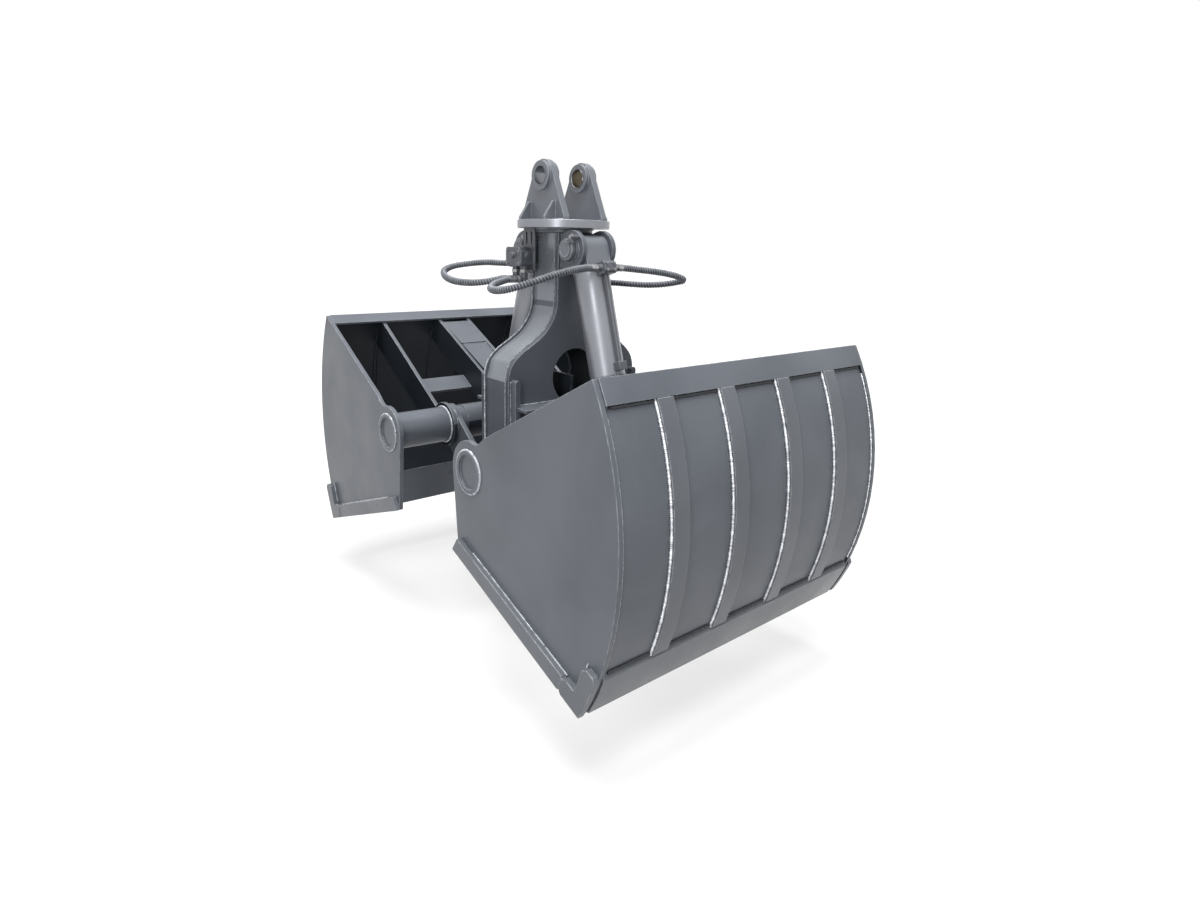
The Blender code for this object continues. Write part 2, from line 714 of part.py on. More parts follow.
def ribs_of_shell(word, sign, pivot):
    """Outer ribs, and the channel with its cover, cross braces, inner tubes and rod pin spacers."""
    axis = (0, 1, 0)
    outline = rib_outline((RIB_TOP_U, RIB_TOP_W), RIB_TOP_SLOPE_SHARE,
                          (RIB_LOW_U, RIB_LOW_W), RIB_LOW_SLOPE_SHARE, False)
    reach = RIB_Y + RIB_T + BITE
    bore = disc(TUBE_R + GAP, pivot, axis, -reach, reach, FINE)
    for side, y in (("left", -1), ("right", 1)):
        rib = prism(shift(outline, sign), y * RIB_Y, y * (RIB_Y + RIB_T), "XZ")
        make(word + "_rib_" + side, [rib], INNER, pivot, [bore])
    outline = rib_outline((CHANNEL_TOP_U, CHANNEL_TOP_W), CHANNEL_SLOPE_SHARE,
                          (CHANNEL_LOW_U, CHANNEL_LOW_W), CHANNEL_LOW_SLOPE_SHARE, True)
    bodies = both(prism(shift(outline, sign), CHANNEL_Y, CHANNEL_Y + RIB_T, "XZ"))
    for cover in cover_outlines():
        bodies.append(prism(shift(cover, sign), -CHANNEL_Y - BITE, CHANNEL_Y + BITE, "XZ"))
    bodies += both(prism(shift(brace_outline(), sign), CHANNEL_Y + RIB_T - BITE, RIB_Y - GAP, "XZ"))
    bodies += both(disc(TUBE_R, pivot, axis, CHANNEL_Y + RIB_T - BITE, TUBE_INNER_END, FINE))
    rod_spot = (sign * (HINGE_X + ROD_PIN_U), 0, HINGE_Z + ROD_PIN_W)
    bodies += both(disc(SPACER_R, rod_spot, axis, ROD_EYE_HALF + RUN * 2, CHANNEL_Y + BITE, MID))
    rib_side = CHANNEL_Y + RIB_T + BITE
    cutters = [disc(TUBE_R - TUBE_WALL, pivot, axis, -TUBE_INNER_END - BITE, TUBE_INNER_END + BITE, FINE),
               disc(ROD_PIN_R + GAP, rod_spot, axis, -rib_side, rib_side, MID)]
    make(word + "_channel", bodies, INNER, pivot, cutters)
    inside = CHANNEL_Y + RIB_T + RUN
    reach = inside + ROD_PIN_HEAD_T
    profile = [(0, -reach), (ROD_PIN_HEAD_R, -reach), (ROD_PIN_HEAD_R, -inside), (ROD_PIN_R, -inside),
               (ROD_PIN_R, inside), (ROD_PIN_HEAD_R, inside), (ROD_PIN_HEAD_R, reach), (0, reach)]
    make(word + "_rod_pin", [turned(profile, rod_spot, axis, MID)], STEEL, pivot)


def shell(word, sign):
    pivot = (sign * HINGE_X, 0, HINGE_Z)
    axis = (0, 1, 0)
    bore = disc(TUBE_R + GAP, pivot, axis, -HALF_WIDTH - BITE, HALF_WIDTH + BITE, FINE)
    cap_y = HALF_WIDTH + TUBE_PROUD - CAP_RECESS
    pin_r = TUBE_R - TUBE_WALL - GAP
    tube = [(0, PIN_FROM_Y), (pin_r, PIN_FROM_Y), (pin_r, RIB_Y), (TUBE_R, RIB_Y),
            (TUBE_R, HALF_WIDTH + TUBE_PROUD), (TUBE_R - TUBE_WALL, HALF_WIDTH + TUBE_PROUD),
            (TUBE_R - TUBE_WALL, cap_y), (0, cap_y)]
    face = HALF_WIDTH + GAP
    for side, y in (("left", -1), ("right", 1)):
        plate = prism(shift(side_outline(), sign), y * (HALF_WIDTH - SIDE_T), y * HALF_WIDTH, "XZ")
        make(word + "_side_" + side, [plate], PAINT, pivot, [bore])
        make(word + "_torque_tube_" + side, [turned(tube, pivot, (0, y, 0), FINE)], PAINT, pivot)
        trim = [prism(shift(corner_outline(), sign), y * face, y * (face + CORNER_T), "XZ"),
                prism(shift(cutter_outline(), sign), y * face, y * (face + CUTTER_T), "XZ")]
        make(word + "_side_cutter_" + side, trim, WEAR, pivot)
    back_of_shell(word, sign, pivot)
    ribs_of_shell(word, sign, pivot)


def s_line():
    """Half outline of the frame box: neck, S curve and straight end, from top to bottom."""
    wide = BOX_HALF - NECK_HALF
    tall = S_TOP - S_BOTTOM
    points = [(NECK_HALF + wide * a, S_TOP - tall * b, 0) for a, b in S_SHARES]
    curve = [(p.x, p.y) for p in smooth_line(points, S_STEPS)]
    return [(NECK_HALF, NECK_TOP)] + curve + [(BOX_HALF, BOX_BOTTOM)]


def frame_box():
    """Two profile plates with S-shaped webs between them, and the inner diaphragm on the floor.

    The web is folded at the foot of the S, so it runs flat down to its fold while the plates round off.
    """
    half = s_line()
    outline = half + [(-y, z) for y, z in reversed(half)]
    inner = PLATE_X - PLATE_T
    hole = disc(HOLE_R, (0, 0, HOLE_Z), (1, 0, 0), -PLATE_X - BITE, PLATE_X + BITE, FINE)
    for word, sign in (("front", 1), ("rear", -1)):
        make("frame_plate_" + word, [prism(outline, sign * inner, sign * PLATE_X, "YZ")], PAINT, cutters=[hole])
    flat_top = S_TOP - (S_TOP - S_BOTTOM) * WEB_FLAT_SHARE
    line = [point for point in half[:-1] if not S_BOTTOM + MERGE < point[1] < flat_top - MERGE]
    line.append((BOX_HALF, BOX_BOTTOM + FLOOR_T + GAP))
    outer = offset_line(line, -WEB_SINK)
    back = offset_line(line, -WEB_SINK - WEB_T)
    web = outer + list(reversed(back))
    inner -= GAP
    make("frame_web_left", [prism([(-y, z) for y, z in web], -inner, inner, "YZ")], PAINT)
    port = disc(FITTING_R, (SIDE_PORT_X, 0, SIDE_PORT_Z), (0, 1, 0), NECK_HALF - WEB_SINK - BITE,
                NECK_HALF + SIDE_PORT_LONG, SMALL)
    make("frame_web_right", [prism(web, -inner, inner, "YZ"), port], PAINT)
    floor_half = BOX_HALF - WEB_SINK
    thick = DIAPHRAGM_T / 2
    wall = [(-floor_half, BOX_BOTTOM), (floor_half, BOX_BOTTOM), (floor_half, BOX_BOTTOM + FLOOR_T),
            (thick, BOX_BOTTOM + FLOOR_T), (thick, HOLE_Z), (-thick, HOLE_Z),
            (-thick, BOX_BOTTOM + FLOOR_T), (-floor_half, BOX_BOTTOM + FLOOR_T)]
    make("frame_diaphragm", [prism(wall, -inner, inner, "YZ")], INNER)


def stiffeners():
    """Two round-topped bars and the shelf between them, on each face of the box."""
    half_wide = STIFFENER_WIDE / 2
    bar = [(STIFFENER_Y - half_wide, STIFFENER_LOW), (STIFFENER_Y + half_wide, STIFFENER_LOW)]
    bar += arc(STIFFENER_Y, STIFFENER_TOP - half_wide, half_wide, 0, math.pi, CORNER_STEPS)
    shelf = [(-STIFFENER_Y, SHELF_Z), (STIFFENER_Y, SHELF_Z), (STIFFENER_Y, SHELF_Z + SHELF_T),
             (-STIFFENER_Y, SHELF_Z + SHELF_T)]
    face = PLATE_X + GAP
    for word, sign in (("front", 1), ("rear", -1)):
        bodies = [prism(shelf, face, face + SHELF_OUT, "YZ")]
        bodies += both(prism(bar, face, face + STIFFENER_OUT, "YZ"))
        make("frame_stiffener_" + word, [sided(body, sign) for body in bodies], PAINT)


def tie_height(offset):
    """Height of the hinge plate's edge on the middle plane."""
    return HINGE_Z - TIE_SLOPE_SHARE * HINGE_X + offset * math.hypot(1, TIE_SLOPE_SHARE)


def tie_outline():
    """Hinge plate: a shallow V between the two round bosses."""
    heading = math.atan(TIE_SLOPE_SHARE)
    start = heading + math.pi + math.asin(TIE_BELOW / TIE_BOSS_R)
    stop = heading + math.pi * 3 - math.asin(TIE_ABOVE / TIE_BOSS_R)
    right = arc(HINGE_X, HINGE_Z, TIE_BOSS_R, start, stop, END_STEPS * 2)
    line = [(0, tie_height(-TIE_BELOW))] + right + [(0, tie_height(TIE_ABOVE))]
    return line + [(-x, z) for x, z in reversed(right)]


def hinge_plates():
    """Hinge plates at the ends of the box, each with a pad on the box and bosses round both pins."""
    inner = PLATE_X - PLATE_T
    low = BOX_BOTTOM + FLOOR_T
    high = tie_height(TIE_ABOVE)
    pad = [(-inner, low), (inner, low), (inner, high), (-inner, high)]
    for word, sign in (("left", -1), ("right", 1)):
        bodies = [prism(tie_outline(), sign * TIE_Y, sign * (TIE_Y + TIE_T), "XZ"),
                  prism(pad, sign * (BOX_HALF - WEB_SINK + GAP), sign * (TIE_Y + BITE), "XZ")]
        cutters = []
        for side in (1, -1):
            spot = (side * HINGE_X, 0, HINGE_Z)
            axis = (0, sign, 0)
            bodies.append(disc(BOSS_R, spot, axis, TUBE_INNER_END + RUN, TIE_Y + BITE, FINE))
            bodies.append(disc(BOSS_OUT_R, spot, axis, TIE_Y + TIE_T - BITE, RIB_Y - RUN, FINE))
            cutters.append(disc(TUBE_R - TUBE_WALL + GAP, spot, axis, PIN_FROM_Y, RIB_Y, FINE))
        make("hinge_plate_" + word, bodies, PAINT, cutters=cutters)


def head():
    """Mounting flange on the neck, and two ears with bosses and gussets."""
    top = FLANGE_LOW + FLANGE_T
    low = NECK_TOP + GAP
    profile = [(0, low), (SPIGOT_R, low), (SPIGOT_R, FLANGE_LOW), (FLANGE_R, FLANGE_LOW), (FLANGE_R, top), (0, top)]
    make("head_flange", [turned(profile, (0, 0, 0), (0, 0, 1), FINE)], PAINT)
    base = top + GAP
    foot = base + EAR_BASE_STEP
    reach = math.hypot(EAR_BASE_HALF, EAR_BORE_Z - foot)
    leave = math.atan2(foot - EAR_BORE_Z, EAR_BASE_HALF) + math.acos(EAR_TOP_R / reach)
    outline = [(-EAR_BASE_HALF, base), (EAR_BASE_HALF, base), (EAR_BASE_HALF, foot)]
    outline += arc(0, EAR_BORE_Z, EAR_TOP_R, leave, math.pi - leave, END_STEPS * 2)
    outline.append((-EAR_BASE_HALF, foot))
    outer = EAR_INNER_Y + EAR_T
    gusset = [(outer - BITE, base), (outer + GUSSET_OUT, base), (outer + GUSSET_OUT, base + GUSSET_NOSE),
              (outer + GUSSET_NOSE, base + GUSSET_TALL), (outer - BITE, base + GUSSET_TALL)]
    spot = (0, 0, EAR_BORE_Z)
    low = EAR_INNER_Y - EAR_BOSS_T
    high = outer + EAR_BOSS_T
    for word, sign in (("left", -1), ("right", 1)):
        bodies = [prism(outline, sign * EAR_INNER_Y, sign * outer, "XZ"),
                  disc(EAR_BOSS_R, spot, (0, sign, 0), low, high, FINE)]
        for x in (-GUSSET_X, GUSSET_X):
            rib = [(sign * y, z) for y, z in gusset]
            bodies.append(prism(rib, x - GUSSET_T / 2, x + GUSSET_T / 2, "YZ"))
        bore = disc(EAR_BORE_R, spot, (0, sign, 0), low - BITE, high + BITE, FINE)
        make("head_ear_" + word, bodies, PAINT, cutters=[bore])


def lug_outline():
    """Lug plate: from the neck plate round the upper cylinder pin."""
    start = PLATE_X + GAP
    centre = Vector((TOP_PIN_X, TOP_PIN_Z))
    low = Vector((start, LUG_LOW)) - centre
    high = Vector((start, LUG_TOP)) - centre
    leave = math.atan2(low.y, low.x) + math.acos(LUG_R / low.length)
    enter = math.atan2(high.y, high.x) - math.acos(LUG_R / high.length)
    return [(start, LUG_TOP), (start, LUG_LOW)] + arc(TOP_PIN_X, TOP_PIN_Z, LUG_R, leave, enter, END_STEPS * 2)


def cylinder_lugs(word, sign):
    """Doubler on the neck with two lug plates round the upper cylinder pin."""
    axis = (0, 1, 0)
    spot = (TOP_PIN_X, 0, TOP_PIN_Z)
    face = PLATE_X + GAP
    high = LUG_Y + LUG_T
    doubler = [(-high, LUG_LOW), (high, LUG_LOW), (high, LUG_TOP), (-high, LUG_TOP)]
    bodies = [prism(doubler, face, face + DOUBLER_T, "YZ")]
    bodies += both(prism(lug_outline(), LUG_Y, high, "XZ"))
    bodies += both(disc(LUG_BOSS_R, spot, axis, high - BITE, high + LUG_BOSS_T, FINE))
    hole = disc(TOP_PIN_R + GAP, spot, axis, -high - LUG_BOSS_T - BITE, high + LUG_BOSS_T + BITE, MID)
    make(word + "_cylinder_lugs", [sided(body, sign) for body in bodies], PAINT, cutters=[sided(hole, sign)])


def cylinder(word, sign):
    """Barrel with eye and gland, port blocks with their pipe, rod with eye, and upper pin."""
    rod_spot = Vector((sign * (HINGE_X + ROD_PIN_U), 0, HINGE_Z + ROD_PIN_W))
    origin = Vector((sign * TOP_PIN_X, 0, TOP_PIN_Z))
    length = (rod_spot - origin).length
    down = (rod_spot - origin).normalized()
    out = Vector((-down.z * sign, 0, down.x * sign))
    side_way = Vector((0, 1, 0))
    own = Matrix((down, side_way, out)).transposed().to_4x4()
    own.translation = origin
    pivot = tuple(origin)
    axis = (0, 1, 0)

    head_low = LUG_Y + LUG_T + LUG_BOSS_T + RUN
    tail = head_low + PIN_TAIL
    top = -head_low - PIN_HEAD_T
    chamfer = PIN_TAIL / 2
    profile = [(0, top), (PIN_HEAD_R - chamfer, top), (PIN_HEAD_R, top + chamfer), (PIN_HEAD_R, -head_low),
               (TOP_PIN_R, -head_low), (TOP_PIN_R, tail), (0, tail)]
    make(word + "_cylinder_pin", [turned(profile, pivot, axis, MID)], STEEL)

    eye = arc(0, 0, EYE_R, math.pi / 2, math.pi * 3 / 2, END_STEPS * 2)
    eye += [(EYE_NECK + BITE * 2, -EYE_R), (EYE_NECK + BITE * 2, EYE_R)]
    bore_r = BARREL_R - BARREL_WALL
    gland_end = BARREL_END + GLAND_LONG
    barrel = [(0, EYE_NECK), (BARREL_R, EYE_NECK), (BARREL_R, BARREL_END), (GLAND_R, BARREL_END),
              (GLAND_R, gland_end), (ROD_R + RUN, gland_end), (ROD_R + RUN, BARREL_END - GLAND_LONG),
              (bore_r, BARREL_END - GLAND_LONG), (bore_r, EYE_NECK + BARREL_BASE), (0, EYE_NECK + BARREL_BASE)]
    bodies = [turned(barrel, pivot, down, FINE), placed(prism(eye, -EYE_HALF, EYE_HALF, "XZ"), own)]
    hole = disc(TOP_PIN_R + RUN, pivot, axis, -EYE_HALF - BITE, EYE_HALF + BITE, MID)
    make(word + "_barrel", bodies, PAINT, pivot, [hole])

    side = BARREL_R + GAP
    port_end = PORT_FROM + PORT_LONG
    far = side + PORT_OUT
    block = [(PORT_FROM, side), (port_end, side), (port_end, far - PORT_BEVEL), (port_end - PORT_BEVEL, far),
             (PORT_FROM + PORT_BEVEL, far), (PORT_FROM, far - PORT_BEVEL)]
    bodies = [placed(prism(block, -PORT_HALF, PORT_HALF, "XZ"), own)]
    nozzle = own @ Vector((PORT_FROM + PORT_LONG / 2, 0, side + PORT_OUT / 2))
    bodies += [disc(NOZZLE_R, nozzle, axis, -PORT_HALF - NOZZLE_LONG, PORT_HALF + NOZZLE_LONG, SMALL)]
    low_end = PORT_LOW_FROM + PORT_LOW_LONG
    block = [(PORT_LOW_FROM, side), (low_end, side), (low_end, side + PORT_LOW_OUT),
             (PORT_LOW_FROM, side + PORT_LOW_OUT)]
    bodies.append(placed(prism(block, -PORT_LOW_HALF, PORT_LOW_HALF, "XZ"), own))
    pipe = own @ Vector((0, 0, side + PIPE_OFF))
    bodies.append(disc(PIPE_R, pipe, down, port_end - BITE, PORT_LOW_FROM + BITE, SMALL))
    make(word + "_port_blocks", bodies, FITTING, pivot)

    eye_start = length - ROD_EYE_NECK
    piston_r = bore_r - RUN
    piston_end = PISTON_FROM + PISTON_LONG
    shaft = [(0, PISTON_FROM), (piston_r, PISTON_FROM), (piston_r, piston_end), (ROD_R, piston_end),
             (ROD_R, eye_start + BITE * 2), (0, eye_start + BITE * 2)]
    turn = math.atan2(SLOT_SIDE, -SLOT_BACK)
    quarter = math.pi / 2
    far_a = length - SLOT_BACK
    slot_r = ROD_PIN_R + SLOT_PLAY
    slot = arc(far_a, SLOT_SIDE, slot_r, turn - quarter, turn + quarter, END_STEPS)
    slot += arc(length, 0, slot_r, turn + quarter, turn + quarter * 3, END_STEPS)
    eye = [(eye_start, -ROD_EYE_R)] + arc(length, 0, ROD_EYE_R, -quarter, turn - quarter, END_STEPS)
    eye += arc(far_a, SLOT_SIDE, ROD_EYE_R, turn - quarter, quarter, CORNER_STEPS)
    eye += [(eye_start, SLOT_SIDE + ROD_EYE_R)]
    bodies = [turned(shaft, pivot, down, MID), placed(prism(eye, -ROD_EYE_HALF, ROD_EYE_HALF, "XZ"), own)]
    cutter = placed(prism(slot, -ROD_EYE_HALF - BITE, ROD_EYE_HALF + BITE, "XZ"), own)
    make(word + "_rod", bodies, STEEL, pivot, [cutter])


def valve():
    """Valve block with plugs and hose elbows, on a slotted bracket."""
    low = VALVE_LOW
    top = low + VALVE_TALL
    left = VALVE_X - VALVE_WIDE / 2
    right = VALVE_X + VALVE_WIDE / 2
    cut = VALVE_BEVEL
    outline = [(left + cut, low), (right - cut, low), (right, low + cut), (right, top - VALVE_CORNER),
               (right - VALVE_CORNER, top), (left + cut, top), (left, top - cut), (left, low + cut)]
    front = -VALVE_Y - VALVE_DEEP
    middle = -VALVE_Y - VALVE_DEEP / 2
    bodies = [prism(outline, front, -VALVE_Y, "XZ"),
              disc(PLUG_R, (VALVE_X, middle, PLUG_Z), (1, 0, 0), left - PLUG_T - VALVE_X,
                   right + PLUG_T - VALVE_X, SMALL),
              disc(PLUG_R, (VALVE_X, front, PLUG_Z), (0, -1, 0), -BITE, PLUG_T, SMALL)]
    for x in (FRONT_FITTING_X, REAR_FITTING_X):
        bodies.append(disc(FITTING_R, (x, -FITTING_Y, low), (0, 0, -1), -BITE, FITTING_LONG, SMALL))
        bodies.append(disc(NOZZLE_R, (x, -FITTING_Y, low - FITTING_SINK), (0, -1, 0), 0, ELBOW_REACH, SMALL))
    left = BRACKET_X - BRACKET_WIDE / 2
    right = BRACKET_X + BRACKET_WIDE / 2
    plate = [(left, BRACKET_LOW), (right, BRACKET_LOW), (right, BRACKET_TOP), (left, BRACKET_TOP)]
    back = -VALVE_Y - BITE
    bodies.append(prism(plate, back, back + BRACKET_T, "XZ"))
    web = NECK_HALF - WEB_SINK + GAP
    for z in (BRACKET_FOOT_LOW, BRACKET_FOOT_TOP):
        bodies.append(disc(FOOT_R, (BRACKET_FOOT_X, 0, z), (0, -1, 0), web, -back - BITE, SMALL))
    cutters = []
    for x in (BRACKET_X - BRACKET_SLOT_X, BRACKET_X + BRACKET_SLOT_X):
        slot = arc(x, BRACKET_SLOT_TOP, BRACKET_SLOT_R, 0, math.pi, CORNER_STEPS)
        slot += arc(x, BRACKET_SLOT_LOW, BRACKET_SLOT_R, math.pi, 2 * math.pi, CORNER_STEPS)
        cutters.append(prism(slot, back - BITE, back + BRACKET_T + BITE, "XZ"))
    make("valve_block", bodies, FITTING, cutters=cutters)


def hose(name, xs, ys, zs):
    """Round hose along a smooth line through its route points, its first and last stretch straight.

    The routes were drawn for top pins at ROUTE_PIN_Z and keep their place from those pins.
    """
    lift = TOP_PIN_Z - ROUTE_PIN_Z
    route = [Vector((x, y, z + lift)) for x, y, z in zip(xs, ys, zs)]
    bent = smooth_line(route, END_STEPS)[END_STEPS:-END_STEPS]
    line = [route[0]] + even_line(bent, HOSE_POINTS) + [route[-1]]
    curve = bpy.data.curves.new(name, "CURVE")
    curve.dimensions = "3D"
    spline = curve.splines.new("POLY")
    spline.points.add(len(line) - 1)
    for point, spot in zip(spline.points, line):
        point.co = (spot.x, spot.y, spot.z, 1)
    curve.bevel_depth = HOSE_R
    curve.bevel_resolution = HOSE_RES
    curve.use_fill_caps = True
    curve.materials.append(HOSE)
    add_object(name, curve)


frame_box()
stiffeners()
hinge_plates()
head()
for shell_word, shell_sign in (("front", 1), ("rear", -1)):
    shell(shell_word, shell_sign)
    cylinder_lugs(shell_word, shell_sign)
    cylinder(shell_word, shell_sign)
valve()
hose("hose_front", FRONT_HOSE_X, FRONT_HOSE_Y, FRONT_HOSE_Z)
hose("hose_rear", REAR_HOSE_X, REAR_HOSE_Y, REAR_HOSE_Z)
hose("hose_side", SIDE_HOSE_X, SIDE_HOSE_Y, SIDE_HOSE_Z)
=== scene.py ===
"""Looks of the clamshell bucket: painted plates, weld beads, cylinders, guarded hoses and small fasteners."""
import math

import bmesh
import bpy
from mathutils import Matrix, Vector

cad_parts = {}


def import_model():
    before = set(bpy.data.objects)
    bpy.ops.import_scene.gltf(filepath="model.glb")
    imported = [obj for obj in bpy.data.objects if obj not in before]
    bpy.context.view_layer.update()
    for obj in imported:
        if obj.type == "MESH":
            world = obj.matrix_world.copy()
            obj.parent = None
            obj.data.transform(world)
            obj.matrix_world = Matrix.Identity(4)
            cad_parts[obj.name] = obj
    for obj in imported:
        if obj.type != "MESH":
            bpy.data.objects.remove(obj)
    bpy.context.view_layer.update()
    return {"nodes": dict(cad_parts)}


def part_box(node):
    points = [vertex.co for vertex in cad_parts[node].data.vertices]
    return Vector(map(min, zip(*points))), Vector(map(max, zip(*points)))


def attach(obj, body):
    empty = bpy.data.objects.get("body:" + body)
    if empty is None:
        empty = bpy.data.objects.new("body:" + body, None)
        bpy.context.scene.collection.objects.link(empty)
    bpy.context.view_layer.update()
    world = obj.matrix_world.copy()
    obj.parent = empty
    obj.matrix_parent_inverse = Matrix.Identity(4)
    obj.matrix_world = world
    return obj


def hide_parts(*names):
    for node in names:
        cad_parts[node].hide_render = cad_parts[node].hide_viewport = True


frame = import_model()

# Camera, at the place the bucket was seen from
CAMERA_PLACE = (2.180, -1.698, 1.240)
CAMERA_YAW_DEG = 140.82
CAMERA_PITCH_DEG = -12.41
CAMERA_ROLL_DEG = 1.17
CAMERA_LENS_MM = 21.25
CAMERA_SENSOR_MM = 36
CAMERA_SHIFT = (0.0200, -0.0392)

# Places and sizes that the welds, hoses and fasteners share with the steelwork, in metres
HINGE_X = 0.300
tube_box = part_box("front_torque_tube_left")
HINGE_Z = tube_box[0].z / 2 + tube_box[1].z / 2
OPEN = math.radians(70)
ARC_U = 0.145
ARC_W = 0.210
MOUTH = 0.299
TOP_TURN = math.radians(48.6)
WALL_R = 0.950
LIP_R = 0.962
LIP_LONG = 0.155
BAR_TALL = 0.072
HALF_WIDTH = 0.600
SIDE_T = 0.016
TUBE_R = 0.070
RIB_Y = 0.346
RIB_T = 0.016
CHANNEL_Y = 0.067
PLATE_X = 0.085
NECK_HALF = 0.088
BOX_HALF = 0.305
S_TOP = 1.040
S_BOTTOM = 0.755
NECK_TOP = 1.290
FLANGE_SEAT = NECK_TOP + 0.0165
FOOT_TALL = 0.4
S_STEPS = 3
S_SHARES = ((0.0, 0.0), (0.02, 0.11), (0.10, 0.25), (0.27, 0.41), (0.50, 0.53),
            (0.74, 0.64), (0.92, 0.77), (0.99, 0.90), (1.0, 1.0))
TOP_PIN = (0.145, 1.230)
ROD_PIN = (0.312, HINGE_Z + 0.128)
EYE_REACH = 0.080
EAR_BORE_Z = 1.493
HOSE_R = 0.013
# Each hose's way through the air, from its nozzle on a cylinder to its port: x, y and z of its points
HOSES = {
    "hose_front": (
        (0.254, 0.254, 0.270, 0.286, 0.281, 0.249, 0.191, 0.120, 0.048, -0.001, -0.032, -0.055, -0.055),
        (-0.0385, -0.070, -0.120, -0.190, -0.270, -0.330, -0.370, -0.378, -0.355, -0.310, -0.258, -0.210, -0.1765),
        (1.170, 1.170, 1.169, 1.162, 1.145, 1.121, 1.100, 1.091, 1.094, 1.104, 1.112, 1.118, 1.118)),
    "hose_rear": (
        (-0.254, -0.254, -0.280, -0.340, -0.398, -0.424, -0.400, -0.336, -0.262, -0.195, -0.145, -0.108, -0.108),
        (-0.0385, -0.066, -0.100, -0.130, -0.178, -0.236, -0.290, -0.322, -0.325, -0.300, -0.262, -0.212, -0.1765),
        (1.170, 1.170, 1.171, 1.172, 1.165, 1.154, 1.138, 1.118, 1.104, 1.100, 1.105, 1.118, 1.118)),
    "hose_side": (
        (0.254, 0.254, 0.260, 0.274, 0.286, 0.291, 0.276, 0.242, 0.208, 0.178, 0.140, 0.096, 0.058, 0.040, 0.040),
        (0.0385, 0.080, 0.150, 0.220, 0.285, 0.340, 0.376, 0.370, 0.332, 0.280, 0.232, 0.205, 0.185, 0.158, 0.1227),
        (1.170, 1.169, 1.163, 1.156, 1.147, 1.135, 1.122, 1.112, 1.104, 1.101, 1.103, 1.105, 1.106, 1.106, 1.106)),
}


# Finishes

# An edge counts as rubbed where the rounded normal leaves the true one: cosine at the start and at full wear
EDGE_FLAT = 0.995
EDGE_SHARP = 0.93
EDGE_SAMPLES = 4
EDGE_RUB_R = 0.0035
SPECK_LIFT = 1.35
GRAIN_DROP = 0.82


class Finish:
    """A material under construction: a Principled shader with short calls for the nodes that feed it."""

    def __init__(self, name, metallic, roughness=None):
        self.material = bpy.data.materials.new(name)
        self.material.use_nodes = True
        self.nodes = self.material.node_tree.nodes
        self.links = self.material.node_tree.links
        self.shader = self.nodes["Principled BSDF"]
        self.shader.inputs["Metallic"].default_value = metallic
        if roughness is not None:
            self.shader.inputs["Roughness"].default_value = roughness
        self.place = self.nodes.new("ShaderNodeTexCoord").outputs["Object"]

    def noise(self, scale, detail=4, stretch=None, distortion=0):
        node = self.nodes.new("ShaderNodeTexNoise")
        node.inputs["Scale"].default_value = scale
        node.inputs["Detail"].default_value = detail
        node.inputs["Distortion"].default_value = distortion
        source = self.place
        if stretch:
            mapping = self.nodes.new("ShaderNodeMapping")
            mapping.inputs["Scale"].default_value = stretch
            self.links.new(source, mapping.inputs["Vector"])
            source = mapping.outputs["Vector"]
        self.links.new(source, node.inputs["Vector"])
        return node.outputs["Fac"]

    def spread(self, value, low, high, to_low, to_high):
        node = self.nodes.new("ShaderNodeMapRange")
        for key, number in (("From Min", low), ("From Max", high), ("To Min", to_low), ("To Max", to_high)):
            node.inputs[key].default_value = number
        self.links.new(value, node.inputs["Value"])
        return node.outputs["Result"]

    def mix(self, share, first, second):
        node = self.nodes.new("ShaderNodeMix")
        node.data_type = "RGBA"
        for socket, colour in ((node.inputs["A"], first), (node.inputs["B"], second)):
            if isinstance(colour, tuple):
                socket.default_value = (*colour, 1)
            else:
                self.links.new(colour, socket)
        self.links.new(share, node.inputs["Factor"])
        return node.outputs["Result"]

    def bump(self, height, strength, distance, under=None):
        node = self.nodes.new("ShaderNodeBump")
        node.inputs["Strength"].default_value = strength
        node.inputs["Distance"].default_value = distance
        self.links.new(height, node.inputs["Height"])
        if under:
            self.links.new(under, node.inputs["Normal"])
        return node.outputs["Normal"]

    def edge(self, radius):
        """1 near a sharp edge of the steel, 0 on its flats, with the rounded normal."""
        soft = self.nodes.new("ShaderNodeBevel")
        soft.samples = EDGE_SAMPLES
        soft.inputs["Radius"].default_value = radius
        true = self.nodes.new("ShaderNodeNewGeometry")
        product = self.nodes.new("ShaderNodeVectorMath")
        product.operation = "DOT_PRODUCT"
        self.links.new(soft.outputs["Normal"], product.inputs[0])
        self.links.new(true.outputs["Normal"], product.inputs[1])
        return self.spread(product.outputs["Value"], EDGE_FLAT, EDGE_SHARP, 0, 1), soft.outputs["Normal"]

    def feed(self, socket, value):
        self.links.new(value, self.shader.inputs[socket])


